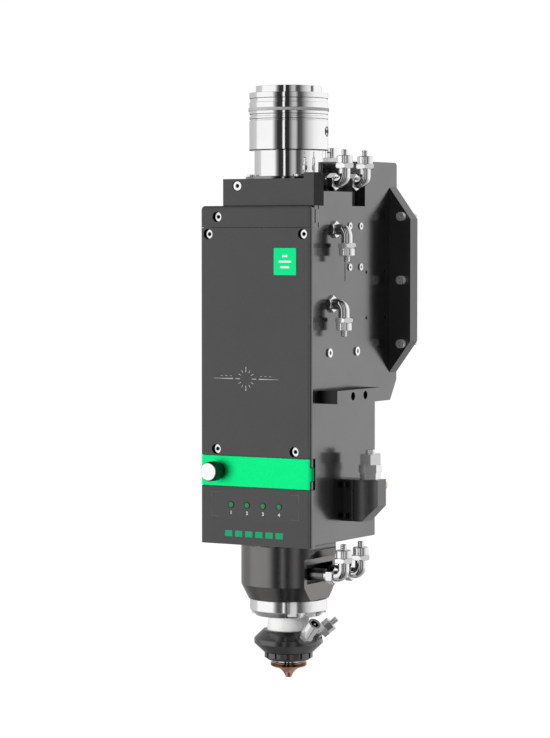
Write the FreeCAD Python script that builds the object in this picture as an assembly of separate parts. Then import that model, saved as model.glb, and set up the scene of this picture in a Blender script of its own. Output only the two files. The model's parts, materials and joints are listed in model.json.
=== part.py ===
"""Laser cutting head with motorised focus, modelled at its real size in millimetres.

The beam comes in through the fibre socket on top, is made parallel by a lens in the collimator
barrel, focused by a lens on a moving carriage, and leaves through the copper nozzle below.
X runs to the right of the front covers, Y to the back, Z up.
The origin is the centre of the nozzle's mouth, on the beam axis.
"""
import FreeCAD
import Part
import math
import os

V = FreeCAD.Vector

# Clearances
MOVING_GAP = 0.3          # between pieces that move against each other
RUNNING_FIT = 0.05        # radial play of a shaft in its guide
SEAT_FIT = 0.1            # radial play of a fixed piece in its seat
HOLE_PLAY = 0.25          # radial play of a screw in a plain hole
THREAD_PLAY = 0.6         # radial room of the door screw in its socket

# Nose, from the nozzle's mouth upwards
NOZZLE_CONE_H = 8.4
NOZZLE_FLANGE_T = 3.2
NOZZLE_FLANGE_R = 14.0
NOZZLE_TIP_R = 2.3
NOZZLE_STEM_L = 10.0
NOZZLE_STEM_R = 5.5
ORIFICE_R = 1.0
ORIFICE_L = 2.5
NOZZLE_BORE_R = 4.0
NOZZLE_CHAMFER_R = 1.5
NOZZLE_CHAMFER_H = 1.0
NOZZLE_HOLLOW_R = 5.5
NOZZLE_HOLLOW_H = 5.2
SEAT_RIM_H = 1.9
SEAT_RIM_R = 9.8
SEAT_CORE_R = 8.4
CERAMIC_R = 13.0
CERAMIC_H = 9.8
CERAMIC_RING_CHAMFER_H = 2.2
CERAMIC_RING_BAND_H = 3.9
CERAMIC_RING_R = 18.8
CERAMIC_RING_MOUTH_R = 15.7
CERAMIC_RING_SLOTS = 12
CERAMIC_RING_SLOT_W = 2.6
CERAMIC_RING_SLOT_DEPTH = 1.4
SPIGOT_WALL = 2.8
SENSOR_LOWER_CONE_H = 6.9
SENSOR_BAND_H = 3.7
SENSOR_UPPER_CONE_H = 6.7
SENSOR_FOOT_R = 19.5
SENSOR_R = 26.8
SENSOR_TOP_R = 20.0
SENSOR_BORE_R = 9.0
SENSOR_FLAT_DEPTH = 1.6
SLEEVE_SEAT_DEPTH = 4.5
SLEEVE_SHOWN_H = 11.5
SLEEVE_FOOT_R = 16.9
SLEEVE_TOP_R = 15.8
SLEEVE_FLANGE_T = 4.0
SLEEVE_FLANGE_R = 20.0
RING_CHAMFER_H = 4.5
RING_BAND_H = 8.5
RING_R = 30.0
RING_MOUTH_R = 25.5
RING_THREAD_R = 23.7
RING_SLOTS = 4
RING_SLOT_W = 6.7
RING_SLOT_DEPTH = 2.6
RING_FIRST_SLOT_DEG = 36.0
LENS_CONE_H = 11.3
LENS_CYL_H = 31.2
LENS_R = 36.9
LENS_FOOT_R = 31.2
LENS_BORE_R = 18.0
LENS_FLAT_X = 28.0
LENS_FLAT_TOP_H = 32.6
LENS_STEP_X = 30.5        # shelf cut into the drum's upper right edge
LENS_STEP_H = 3.0
LENS_OVERHANG_H = 10.0
POCKET_H = 14.6
POCKET_DEPTH = 8.0
POCKET_HALF_Y = 20.0
POCKET_UP = 2.4           # lower edge of the pocket above the drum's lower edge
RING_THREAD_L = 7.0
NECK_RING_H = 4.5
NECK_RING_R = 29.6
SPIGOT_H = 6.0

# Body
BODY_HALF_W = 49.2
FRONT_Y = -51.0
COVER_T = 5.4
COVER_EDGE_R = 3.3
PANEL_DROP = 2.2
LOWER_PANEL_H = 44.5
DOOR_H = 23.7
COVER_H = 174.4
TOP_PLATE_H = 16.6
TOP_PLATE_CORNER_R = 3.0
PANEL_SEAM = 0.3
WALL_T = 6.2
LOWER_REAR_Y = 49.5
STEP_Z_UP = 104.7         # height of the rear step above the underside
STEP_REAR_Y = 74.4
STEP_CHAMFER_H = 16.0
REAR_Y = 85.0
REAR_PLATE_T = 12.0
TOP_WALL_T = 12.5
FLOOR_T = 13.5
REAR_TOWER_Y = 33.0
REAR_TOWER_H = 34.8
REAR_TOWER_WALL = 7.0
REAR_TOWER_CORNER_R = 3.0
WIRE_SLOT_X = 20.0
SIDE_LUG_Y = (-31.8, 12.5)
SIDE_LUG_H = 11.0
BEAM_BORE_R = 14.0
WEB_T = 14.0
FIXING_HOLE_R = 1.25
FIXING_HOLE_DEPTH = 4.0
FIXING_HOLES_YZ = ((35.4, 315.3), (66.5, 315.3), (35.4, 279.7), (66.5, 279.7))

# Rear mounting plate
PLATE_WING = 18.6         # beyond the body on each side
PLATE_BOTTOM_UP = 126.7   # above the underside of the body
PLATE_H = 145.5
PLATE_CORNER_H = 24.8
STUD_IN = 7.3             # from the wing's edge
STUD_END = 22.75          # from the plate's top and bottom
STUD_OUT = 9.0
STUD_WAIST_R = 1.6        # waisted shank inside the plate

# Screws: thread radius, head radius, head height
M4 = (2.0, 3.5, 4.0)
M3 = (1.5, 2.75, 3.0)
M4_LOW = (2.0, 3.5, 2.2)
M3_LOW = (1.5, 2.75, 1.6)
M4_NARROW = (2.0, 2.9, 4.0)
SOCKET_SHARE = 1.5        # key width as a share of the thread radius
SOCKET_OF_HEAD = 0.7      # deepest key socket as a share of the head's height
WALL_HEAD_SHARE = 0.3     # height of the flat heads as a share of a full one
COUNTERBORE_PLAY = 0.5
SCREW_RECESS = 2.2
BLOCK_SCREW_RECESS = 0.4
SCREW_END_ROOM = 0.5
SCREW_GRIP = 7.0
SOCKET_DEPTH = 2.0
COVER_TOP_SCREW_IN = 7.4  # from the body's side
COVER_TOP_SCREW_DOWN = 4.9
COVER_LOW_SCREW_IN = 14.7
COVER_LOW_SCREW_UP = 4.8
TOP_PLATE_SCREW_IN = 15.4
BLOCK_SCREW_X = -18.4
BLOCK_SCREW_UP = 15.2

# Badge and status label
BADGE_W = 19.4
BADGE_H = 20.4
BADGE_T = 0.8
BADGE_IN = 22.8           # centre, from the body's right side
BADGE_DOWN = 25.7
LABEL_IN = 8.6            # each end, from the body's side
LABEL_H = 22.7
LABEL_T = 0.8
LABEL_DOWN = 2.4
LED_R = 2.15
LED_PITCH = 14.2
LED_COUNT = 4
LED_DOWN = 11.4
LED_PROUD = 0.5
BOARD_T = 1.6
BOARD_SETBACK = 4.0
BOARD_IN = 13.2
BOARD_H = 22.0
BOARD_LEDGE = 3.0
BOARD_ROOM = 4.0

# Door, hinge and door screw
HINGE_R = 3.3
HINGE_SETBACK = 3.9
HINGE_KNUCKLE_R = 2.8
HINGE_PIN_R = 1.2
HINGE_ARM_W = 3.2
HINGE_RELIEF = 1.0
HINGE_MIDDLE_H = 10.2
DOOR_OPEN_DEG = 110.0
THUMB_IN = 16.2           # from the door's free end
THUMB_R = 7.6
THUMB_L = 14.5
THUMB_SHANK_R = 2.5
THUMB_REACH = 5.0
THUMB_END_ROOM = 2.0
THUMB_CHAMFER = 0.8

# Protective window drawer
WINDOW_R = 15.0
WINDOW_T = 5.0
WINDOW_LIP = 2.0
SEAL_T = 1.2
RETAINER_T = 2.0
DRAWER_RIM = 6.5
DRAWER_FLOOR = 2.3
DRAWER_SETBACK = 1.3
DRAWER_FACE_T = 4.0
DRAWER_FACE_OVERHANG = 3.0
DRAWER_GAP = 0.35
GRIP_DEPTH = 2.2
GRIP_H = 5.0
GRIP_HALF_W = 9.0

# Focus unit
FOCUS_Z = 255.0
FOCUS_TRAVEL = 12.0
FOCUS_LENS_R = 15.0
FOCUS_LENS_EDGE = 3.0
FOCUS_LENS_BULGE = 2.2
CELL_WALL = 6.0
CARRIAGE_H = 16.0
ROD_R = 4.0
ROD_X = 30.0
ROD_Y = 14.0
ROD_SEAT = 6.0
LUG_WALL = 3.5
MOTOR_W = 28.0
MOTOR_H = 32.0
MOTOR_Y = 47.0
MOTOR_EDGE_R = 3.0
ARM_ROOM = 2.0
SCREW_R = 3.0
SCREW_ABOVE = 66.0
SWITCH_SIZE = (7.0, 8.0, 6.0)
SWITCH_Y = -12.0
CONTROL_BOARD_HALF_W = 34.0
CONTROL_BOARD_H = 90.0
CONTROL_BOARD_UP = 12.0
STANDOFF_L = 6.0
STANDOFF_R = 2.5
CHIP_SIDE = 18.0
CHIP_T = 2.0
CHIP_UP = 20.0
BOARD_PLUG_W = 20.0
BOARD_PLUG_T = 5.0
BOARD_PLUG_H = 6.0
BOARD_PLUG_IN = 8.0
BOARD_PLUG_UP = 6.0

# Collimator
BARREL_R = 20.0
BARREL_WALL = 3.5
BARREL_DROP = 74.0
BARREL_FLANGE_R = 27.0
BARREL_FLANGE_T = 3.5
COLLIMATOR_UP = 8.0
COLLIMATOR_EDGE = 3.0
COLLIMATOR_BULGE = 2.6

# Fibre inlet
BLOCK_H = 20.5
BLOCK_LEFT_IN = 18.2      # left face, from the body's side
BLOCK_RIGHT_IN = 8.3      # right face, from the body's side
BLOCK_FRONT_Y = -46.6
BLOCK_REAR_Y = 32.0
COLUMN_IN = 8.8
COLUMN_REAR_Y = -32.1
RIDGE_W = 6.4
RIDGE_REAR_Y = 26.0
RIDGE_H = 4.5
SOCKET_FLANGE_R = 33.4
SOCKET_FLANGE_T = 2.2
SOCKET_NECK_R = 26.5
SOCKET_NECK_H = 20.3
SOCKET_TUBE_R = 21.5
SOCKET_TUBE_H = 45.0
FIBRE_PLUG_R = 12.5
FIBRE_PLUG_DEPTH = 52.0
FIBRE_BEAM_R = 8.1
FLANGE_SCREW_R = 29.9
FLANGE_SCREWS = 4
COLLAR_R = 30.5
COLLAR_BAND_R = 31.2
COLLAR_H = 43.9
COLLAR_BOSS_R = 25.4
COLLAR_BOSS_H = 5.3
COLLAR_LIP_R = 15.5
COLLAR_GROOVE = 0.7
COLLAR_GROOVES_DOWN = (4.2, 16.4, 20.0)
COLLAR_GROOVE_H = (3.2, 1.8, 1.4)
COLLAR_BAND_DOWN = 11.8
COLLAR_BAND_H = 2.2
NOTCH_DEG = 75.0
NOTCH_W = 3.0
NOTCH_DEPTH = 1.6
CABLE_SOCKET_XY = (9.0, 50.0)
CABLE_SOCKET_R = 4.6
CABLE_SOCKET_H = 11.3
CABLE_SOCKET_NUT_AF = 12.0
CABLE_SOCKET_NUT_H = 3.6
CABLE_SOCKET_WALL = 1.0
CONTACT_R = 0.6
CONTACT_DEPTH = 3.0
CONTACTS = 4

# Hose fittings
HOSE_COLLAR_R = 4.7
HOSE_COLLAR_L = 4.4
NOSE_COLLAR_L = 2.4
HOSE_HEX_AF = 11.6
HOSE_HEX_L = 6.0
SIDE_HEX_L = 2.5
SIDE_BEND_R = 8.4
HOSE_TUBE_R = 4.4
HOSE_BEND_R = 7.1
HOSE_LEG = 10.2
HOSE_FLANGE_AF = 13.4
HOSE_FLANGE_H = 4.0
HOSE_NUT_AF = 11.4
HOSE_NUT_H = 6.0
HOSE_STEM_R = 2.1
HOSE_BARB_R = 2.4
HOSE_BARB_OUT = 4.4
HOSE_THREAD_R = 3.6
HOSE_THREAD_L = 4.0
TOP_ELBOW_Y = 16.0
TOP_ELBOW_UP = 18.0
SIDE_ELBOWS_YZ = ((-15.3, 348.3), (-19.8, 291.7))
NOSE_ELBOW_Y = 13.5
NOSE_BOSS_R = 4.9
NOSE_BOSS_X = 41.0

# Gas inlet on the right side
GAS_BOTTOM_UP = 15.1
GAS_H = 32.2
GAS_FRONT_Y = 0.2
GAS_REAR_Y = 17.5
GAS_OUT = 27.3
GAS_FOOT = 6.8
GAS_GROOVE_W = 2.8
GAS_GROOVE_DEPTH = 0.8
GAS_CURVE_DROP = 3.8
GAS_CURVE_START = 0.95
GAS_CHAMFER = 12.0
GAS_HOLE_R = 2.5
GAS_HOLE_DEPTH = 7.0
GAS_HOLE_OUT = 3.2
GAS_HOLE_EDGE = 4.2
GAS_PORT_X_OUT = 17.8
GAS_PORT_Y = 9.6
GAS_HEX_AF = 14.0
GAS_HEX_H = 5.4
GAS_FLANGE_AF = 15.4
GAS_FLANGE_H = 6.0
GAS_NUT_AF = 15.6
GAS_NUT_H = 8.3
GAS_STEM_R = 3.5
GAS_STUB_R = 3.9
GAS_TUBE_WALL = 1.3
GAS_STUB_H = 3.4
GAS_THREAD_R = 5.0
GAS_THREAD_L = 8.0
PLUG_R = 4.2
PLUG_STEM_R = 3.2
PLUG_OUT = 4.5
PLUG_IN = 2.5
PLUG_X_OUT = 22.0
PLUG_DOWN = 5.0

# Bar on the right side
RAIL_Y = (-35.0, 33.4)
RAIL_UP = 107.1
RAIL_H = 9.9
RAIL_OUT = 13.8
RAIL_SCREWS_Y = (-10.5, 9.0)

# Connectors on the sensor body
SENSOR_PLUG_DEG = 66.0
SENSOR_PLUG_TILT = 45.0
SENSOR_PLUG_HEX_AF = 9.4
SENSOR_PLUG_HEX_L = 4.0
SENSOR_PLUG_R = 5.0
SENSOR_PLUG_L = 13.5
SENSOR_PLUG_BORE_R = 3.4
SENSOR_PLUG_BORE_L = 6.0
PURGE_DEG = 116.0
PURGE_TILT = 40.0
PURGE_STEM_R = 3.0
PURGE_STEM_L = 4.0
PURGE_HEX_AF = 10.4
PURGE_HEX_L = 5.0
PURGE_NUT_AF = 9.5
PURGE_NUT_L = 5.5
PURGE_BARB_R = 2.2
PURGE_BARB_L = 5.5
CONNECTOR_SEAT = 3.0

# Side screws on the right wall: (y, z)
SMALL_SIDE_SCREWS = ((8.7, 351.0), (25.8, 351.0), (8.7, 319.4), (25.8, 319.4))
SIDE_SCREWS = ((-23.2, 254.5), (19.7, 254.5))
WALL_SCREW_ROOM = 0.5


# Shallow slots cut in the right wall: (start behind the body's front, width, lower and upper end
# above the top of the main cover)
WALL_SLOTS = (
    (0.0, 1.4, 3.3, 13.9),
    (5.0, 1.2, 13.9, 17.6),
    (5.0, 1.2, 0.1, 3.7),
    (46.5, 0.8, -40.7, -23.2),
)
WALL_SLOT_DEPTH = 1.0

HEX_TURN = 30.0           # puts a corner of a hexagon to the front in place of a flat
OVERCUT = 1.0             # length by which a cutting tool stands past the surface it opens

# Heights that follow from the stack above the nozzle
SEAT_Z = NOZZLE_CONE_H + NOZZLE_FLANGE_T + MOVING_GAP
CERAMIC_RING_Z = SEAT_Z + SEAT_RIM_H
CERAMIC_Z = CERAMIC_RING_Z + CERAMIC_RING_CHAMFER_H + MOVING_GAP
CERAMIC_RING_TOP = CERAMIC_RING_Z + CERAMIC_RING_CHAMFER_H + CERAMIC_RING_BAND_H
SENSOR_Z = CERAMIC_RING_TOP + MOVING_GAP
SENSOR_BAND_Z = SENSOR_Z + SENSOR_LOWER_CONE_H
SENSOR_CONE_Z = SENSOR_BAND_Z + SENSOR_BAND_H
SENSOR_TOP = SENSOR_CONE_Z + SENSOR_UPPER_CONE_H
SLEEVE_Z = SENSOR_TOP - SLEEVE_SEAT_DEPTH
RING_Z = SENSOR_TOP + SLEEVE_SHOWN_H
RING_TOP = RING_Z + RING_CHAMFER_H + RING_BAND_H
LENS_Z = RING_TOP + MOVING_GAP
LENS_CYL_Z = LENS_Z + LENS_CONE_H
LENS_TOP = LENS_CYL_Z + LENS_CYL_H
BODY_Z = LENS_TOP + NECK_RING_H
PANEL_Z = BODY_Z - PANEL_DROP
DOOR_Z = PANEL_Z + LOWER_PANEL_H
COVER_Z = DOOR_Z + DOOR_H
COVER_TOP = COVER_Z + COVER_H
BODY_TOP = COVER_TOP + TOP_PLATE_H
BODY_FRONT = FRONT_Y + COVER_T
TOWER_TOP = BODY_TOP + REAR_TOWER_H
BLOCK_TOP = BODY_TOP + BLOCK_H
SOCKET_Z = BLOCK_TOP + SOCKET_FLANGE_T
COLLAR_Z = SOCKET_Z + SOCKET_NECK_H + MOVING_GAP
COLLAR_TOP = COLLAR_Z + COLLAR_H
PLATE_Z = BODY_Z + PLATE_BOTTOM_UP
PLATE_FRONT = REAR_Y - REAR_PLATE_T
INNER_HALF_W = BODY_HALF_W - WALL_T
CHAMBER_Z = COVER_Z + WEB_T
CHAMBER_TOP = BODY_TOP - TOP_WALL_T
DOOR_MID_Z = DOOR_Z + DOOR_H / 2
PLATE_HALF_W = BODY_HALF_W + PLATE_WING
STUD_X = PLATE_HALF_W - STUD_IN
STUD_PITCH = PLATE_H / 2 - STUD_END
COVER_TOP_SCREW_X = BODY_HALF_W - COVER_TOP_SCREW_IN
COVER_LOW_SCREW_X = BODY_HALF_W - COVER_LOW_SCREW_IN
TOP_PLATE_SCREW_X = TOP_PLATE_SCREW_IN - BODY_HALF_W
BADGE_X = BODY_HALF_W - BADGE_IN
LABEL_HALF_W = BODY_HALF_W - LABEL_IN
BOARD_HALF_W = BODY_HALF_W - BOARD_IN
THUMB_X = THUMB_IN - BODY_HALF_W
BLOCK_LEFT_X = BLOCK_LEFT_IN - BODY_HALF_W
BLOCK_SIDE_X = BODY_HALF_W - BLOCK_RIGHT_IN
COLUMN_X = BODY_HALF_W - COLUMN_IN
RIDGE_X = BLOCK_SIDE_X - RIDGE_W
HINGE_X = BODY_HALF_W - HINGE_R
HINGE_Y = FRONT_Y + HINGE_SETBACK
DOOR_REAR = BODY_FRONT - MOVING_GAP


def box(x0, x1, y0, y1, z0, z1):
    """Block between two corners."""
    return Part.makeBox(x1 - x0, y1 - y0, z1 - z0, V(x0, y0, z0))


def pillar(radius, z0, z1, x=0.0, y=0.0):
    """Upright cylinder."""
    return Part.makeCylinder(radius, z1 - z0, V(x, y, z0))


def rod(radius, start, direction, length):
    """Cylinder from a point along a direction."""
    return Part.makeCylinder(radius, length, start, direction)


def turned(profile):
    """Solid of revolution about the beam axis from (radius, height) points."""
    wire = Part.makePolygon([V(r, 0, z) for r, z in profile + [profile[0]]])
    return Part.Face(wire).revolve(V(0, 0, 0), V(0, 0, 1), 360)


def plate_xz(points, y0, y1):
    """Front outline extruded to the back."""
    wire = Part.makePolygon([V(x, y0, z) for x, z in points + [points[0]]])
    return Part.Face(wire).extrude(V(0, y1 - y0, 0))


def plate_yz(points, x0, x1):
    """Side outline extruded to the right."""
    wire = Part.makePolygon([V(x0, y, z) for y, z in points + [points[0]]])
    return Part.Face(wire).extrude(V(x1 - x0, 0, 0))


def hex_bar(across_flats, start, direction, length, turn=0.0):
    """Hexagonal bar from a point along a direction."""
    radius = across_flats / math.sqrt(3)
    corners = [math.radians(60 * i + turn) for i in range(7)]
    wire = Part.makePolygon([V(radius * math.cos(a), radius * math.sin(a), 0) for a in corners])
    prism = Part.Face(wire).extrude(V(0, 0, length))
    prism.Placement = FreeCAD.Placement(start, FreeCAD.Rotation(V(0, 0, 1), direction))
    return prism


def around(count, first_deg, shape):
    """Copies of a shape turned about the beam axis."""
    copies = []
    for i in range(count):
        copy = shape.copy()
        copy.rotate(V(0, 0, 0), V(0, 0, 1), first_deg + i * 360.0 / count)
        copies.append(copy)
    return copies


def cut_all(shape, tools):
    """Shape less every tool."""
    for tool in tools:
        shape = shape.cut(tool)
    return shape


def fuse_all(shapes):
    """One solid from shapes that meet."""
    whole = shapes[0]
    for shape in shapes[1:]:
        whole = whole.fuse(shape)
    return whole.removeSplitter()


def round_edges(shape, radius, wanted):
    """Fillet the straight edges for which wanted(midpoint, direction) holds."""
    edges = []
    for edge in shape.Edges:
        if not isinstance(edge.Curve, (Part.Line, Part.LineSegment)):
            continue
        a, b = edge.Vertexes[0].Point, edge.Vertexes[-1].Point
        if wanted((a + b) * 0.5, (b - a).normalize()):
            edges.append(edge)
    return shape.makeFillet(radius, edges)


def save(name, *solids):
    """Write one node, as one solid or as a group of separate solids."""
    shape = solids[0] if len(solids) == 1 else Part.makeCompound(list(solids))
    shape.exportStep("parts/" + name + ".step")


def cap_screw(size, start, direction, grip):
    """Socket head screw: start is under the head, direction runs along the shank."""
    thread_r, head_r, head_h = size
    shank = rod(thread_r, start, direction, grip)
    head = rod(head_r, start, direction * -1, head_h)
    top = start - direction * head_h
    socket = hex_bar(thread_r * SOCKET_SHARE, top, direction, min(SOCKET_DEPTH, head_h * SOCKET_OF_HEAD))
    return shank.fuse(head).removeSplitter().cut(socket)


def counterbore(size, start, direction, thickness):
    """Hole and head pocket for a screw whose head seat is at start."""
    thread_r, head_r, head_h = size
    hole = rod(thread_r + HOLE_PLAY, start, direction, thickness)
    pocket = rod(head_r + COUNTERBORE_PLAY, start, direction * -1, head_h + COVER_T)
    return hole.fuse(pocket)


# Where the front screws seat: (x, z) on the covers, sunk by the head and a small recess
COVER_SCREWS_XZ = (
    (-COVER_TOP_SCREW_X, COVER_TOP - COVER_TOP_SCREW_DOWN),
    (COVER_TOP_SCREW_X, COVER_TOP - COVER_TOP_SCREW_DOWN),
    (-COVER_LOW_SCREW_X, COVER_Z + COVER_LOW_SCREW_UP),
    (COVER_LOW_SCREW_X, COVER_Z + COVER_LOW_SCREW_UP),
)
TOP_PLATE_SCREW_XZ = (TOP_PLATE_SCREW_X, COVER_TOP + TOP_PLATE_H / 2)
HEAD_SEAT_Y = FRONT_Y + SCREW_RECESS + M4_LOW[2]
BACK = V(0, 1, 0)
RIGHT = V(1, 0, 0)
UP = V(0, 0, 1)


def front_seat(xz):
    """Point under the head of a screw in the front covers."""
    return V(xz[0], HEAD_SEAT_Y, xz[1])


def front_screw_hole(xz):
    """Threaded hole in the body behind a front screw."""
    length = HEAD_SEAT_Y + SCREW_GRIP - BODY_FRONT + 1.0
    return rod(M4[0] + SEAT_FIT, V(xz[0], BODY_FRONT - 1.0, xz[1]), BACK, length + 1.0)


# Drawer sizes that the body's channel follows
DRAWER_HALF_W = WINDOW_R + DRAWER_RIM
DRAWER_BODY_H = DRAWER_FLOOR + WINDOW_T + SEAL_T + RETAINER_T
DRAWER_Z = DOOR_MID_Z - DRAWER_BODY_H / 2
DRAWER_FRONT = BODY_FRONT + DRAWER_SETBACK
DRAWER_REAR = WINDOW_R + DRAWER_RIM
BOARD_Z = DOOR_Z - LABEL_DOWN - LABEL_H / 2 - BOARD_H / 2
BOARD_FRONT = BODY_FRONT + BOARD_SETBACK


def drawer_channel():
    """Room in the body for the window drawer."""
    gap = DRAWER_GAP
    low = DRAWER_Z - gap
    high = DRAWER_Z + DRAWER_BODY_H + gap
    half = DRAWER_HALF_W + gap
    channel = box(-half, half, BODY_FRONT - 1, DRAWER_REAR + gap, low, high)
    face = box(-half, half, BODY_FRONT - 1, DRAWER_FRONT + DRAWER_FACE_T + gap,
               low - DRAWER_FACE_OVERHANG, high + DRAWER_FACE_OVERHANG)
    return channel.fuse(face)


def main_housing():
    """Milled aluminium body with its chambers, bores and threaded holes."""
    step_z = BODY_Z + STEP_Z_UP
    outline = [
        (BODY_FRONT, BODY_Z),
        (LOWER_REAR_Y, BODY_Z),
        (LOWER_REAR_Y, step_z),
        (STEP_REAR_Y, step_z),
        (REAR_Y, step_z + STEP_CHAMFER_H),
        (REAR_Y, TOWER_TOP),
        (REAR_TOWER_Y, TOWER_TOP),
        (REAR_TOWER_Y, BODY_TOP),
        (BODY_FRONT, BODY_TOP),
    ]
    body = plate_yz(outline, -BODY_HALF_W, BODY_HALF_W)
    body = round_edges(body, REAR_TOWER_CORNER_R,
                       lambda p, d: abs(d.x) > 0.9 and p.y > REAR_Y - 1 and p.z > TOWER_TOP - 1)
    lug = box(INNER_HALF_W, BODY_HALF_W, SIDE_LUG_Y[0], SIDE_LUG_Y[1],
              BODY_TOP - WALL_T, BODY_TOP + SIDE_LUG_H)
    body = body.fuse(lug).removeSplitter()

    rear_room_front = REAR_TOWER_Y + REAR_TOWER_WALL
    optics = box(-INNER_HALF_W, INNER_HALF_W, BODY_FRONT - 1, LOWER_REAR_Y - WALL_T,
                 CHAMBER_Z, CHAMBER_TOP)
    rear = box(-INNER_HALF_W, INNER_HALF_W, rear_room_front, REAR_Y,
               PLATE_Z + WALL_T, CHAMBER_TOP)
    tower = box(-INNER_HALF_W, INNER_HALF_W, rear_room_front, PLATE_FRONT,
                BODY_TOP, TOWER_TOP - REAR_TOWER_WALL)
    wire_slot = box(WIRE_SLOT_X, INNER_HALF_W, rear_room_front, PLATE_FRONT,
                    CHAMBER_TOP - 1, BODY_TOP + 1)
    flange_relief = pillar(SOCKET_FLANGE_R + MOVING_GAP, BODY_TOP, SOCKET_Z + 1)
    plate_seat = box(-BODY_HALF_W - 1, BODY_HALF_W + 1, PLATE_FRONT, REAR_Y + 1,
                     PLATE_Z, PLATE_Z + PLATE_H)
    beam = pillar(BEAM_BORE_R, BODY_Z - 1, CHAMBER_Z + 1)
    neck_seat = pillar(NECK_RING_R - WALL_T + SEAT_FIT, BODY_Z - 1, BODY_Z + SPIGOT_H + MOVING_GAP)
    barrel_bore = pillar(BARREL_R + SEAT_FIT, CHAMBER_TOP - 1, BODY_TOP + 1)
    arm_half = SCREW_R + LUG_WALL + ARM_ROOM
    arm_low = FOCUS_Z - CARRIAGE_H / 2 - FOCUS_TRAVEL - ARM_ROOM
    arm_well = box(-arm_half, arm_half, LOWER_REAR_Y - WALL_T - 1, MOTOR_Y + arm_half,
                   arm_low, CHAMBER_TOP)
    tools = [optics, rear, tower, wire_slot, plate_seat, beam, neck_seat, barrel_bore]
    tools += [arm_well, drawer_channel()]
    tools.append(flange_relief.cut(box(-BODY_HALF_W, BODY_HALF_W, -BODY_HALF_W, 0, BODY_TOP, SOCKET_Z + 2)))

    ledge = BOARD_HALF_W - BOARD_LEDGE
    tools.append(box(-BOARD_HALF_W - SEAT_FIT, BOARD_HALF_W + SEAT_FIT, BODY_FRONT - 1,
                     BOARD_FRONT + BOARD_T, BOARD_Z - SEAT_FIT, BOARD_Z + BOARD_H + SEAT_FIT))
    tools.append(box(-ledge, ledge, BODY_FRONT - 1, BOARD_FRONT + BOARD_T + BOARD_ROOM,
                     BOARD_Z + BOARD_LEDGE, BOARD_Z + BOARD_H - BOARD_LEDGE))

    relief = HINGE_R + HINGE_RELIEF
    tools.append(pillar(relief, DOOR_Z, COVER_Z, HINGE_X, HINGE_Y))
    tools.append(rod(THUMB_SHANK_R + THREAD_PLAY, V(THUMB_X, BODY_FRONT - 1, DOOR_MID_Z), BACK,
                     THUMB_REACH + THUMB_END_ROOM))
    for xz in COVER_SCREWS_XZ + (TOP_PLATE_SCREW_XZ,):
        tools.append(front_screw_hole(xz))
    for x in (-ROD_X, ROD_X):
        tools.append(pillar(ROD_R + SEAT_FIT / 2, CHAMBER_Z - ROD_SEAT, CHAMBER_TOP + ROD_SEAT, x, ROD_Y))
    for y, z in SIDE_ELBOWS_YZ:
        tools.append(rod(HOSE_THREAD_R + SEAT_FIT, V(INNER_HALF_W - 1, y, z), RIGHT, WALL_T + 2))
    for y, z in FIXING_HOLES_YZ:
        tools.append(rod(FIXING_HOLE_R, V(BODY_HALF_W - FIXING_HOLE_DEPTH, y, z), RIGHT,
                         FIXING_HOLE_DEPTH + 1))
    for y, z in SMALL_SIDE_SCREWS:
        tools.append(rod(M3[0] + SEAT_FIT, V(INNER_HALF_W + WALL_SCREW_ROOM, y, z), RIGHT, WALL_T + 1))
    for y, z in SIDE_SCREWS:
        tools.append(rod(M4[0] + SEAT_FIT, V(INNER_HALF_W + WALL_SCREW_ROOM, y, z), RIGHT, WALL_T + 1))
    rail_z = BODY_Z + RAIL_UP + RAIL_H / 2
    for y in RAIL_SCREWS_Y:
        tools.append(rod(M4[0] + SEAT_FIT, V(INNER_HALF_W + WALL_SCREW_ROOM, y, rail_z), RIGHT, WALL_T + 1))
    for start, width, lower, upper in WALL_SLOTS:
        tools.append(box(BODY_HALF_W - WALL_SLOT_DEPTH, BODY_HALF_W + 1, BODY_FRONT + start,
                         BODY_FRONT + start + width, COVER_TOP + lower, COVER_TOP + upper))
    gas_z = BODY_Z + GAS_BOTTOM_UP + GAS_H / 2
    tools.append(rod(GAS_THREAD_R / 2, V(0, (GAS_FRONT_Y + GAS_REAR_Y) / 2, gas_z), RIGHT,
                     BODY_HALF_W + 1))
    x, y = CABLE_SOCKET_XY
    tools.append(pillar(CABLE_SOCKET_R - CABLE_SOCKET_WALL, TOWER_TOP - REAR_TOWER_WALL - 1,
                        TOWER_TOP + 1, x, y))
    return cut_all(body, tools)


def front_plate(z0, z1):
    """Cover plate across the whole front, with its two upright edges rounded."""
    plate = box(-BODY_HALF_W, BODY_HALF_W, FRONT_Y, BODY_FRONT, z0 + PANEL_SEAM / 2, z1 - PANEL_SEAM / 2)
    return round_edges(plate, COVER_EDGE_R,
                       lambda p, d: abs(d.z) > 0.9 and p.y < FRONT_Y + 1)


def badge_box(depth):
    """Space of the square badge, sunk into the main cover."""
    top = COVER_TOP - BADGE_DOWN + BADGE_H / 2
    return box(BADGE_X - BADGE_W / 2, BADGE_X + BADGE_W / 2, FRONT_Y, FRONT_Y + depth,
               top - BADGE_H, top)


def front_cover():
    """Main front cover with four counterbored holes and the badge's shallow seat."""
    tools = [counterbore(M4_LOW, front_seat(xz), BACK, COVER_T) for xz in COVER_SCREWS_XZ]
    tools.append(badge_box(BADGE_T).fuse(badge_box(BADGE_T).translated(V(0, -1, 0))))
    return cut_all(front_plate(COVER_Z, COVER_TOP), tools)


def top_front_plate():
    """Plate over the top of the front, with one rounded corner and one screw."""
    plate = front_plate(COVER_TOP, BODY_TOP + PANEL_SEAM / 2)
    plate = round_edges(plate, TOP_PLATE_CORNER_R,
                        lambda p, d: abs(d.y) > 0.9 and p.z > BODY_TOP - 1 and p.x < 0)
    return plate.cut(counterbore(M4_LOW, front_seat(TOP_PLATE_SCREW_XZ), BACK, COVER_T))


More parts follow.
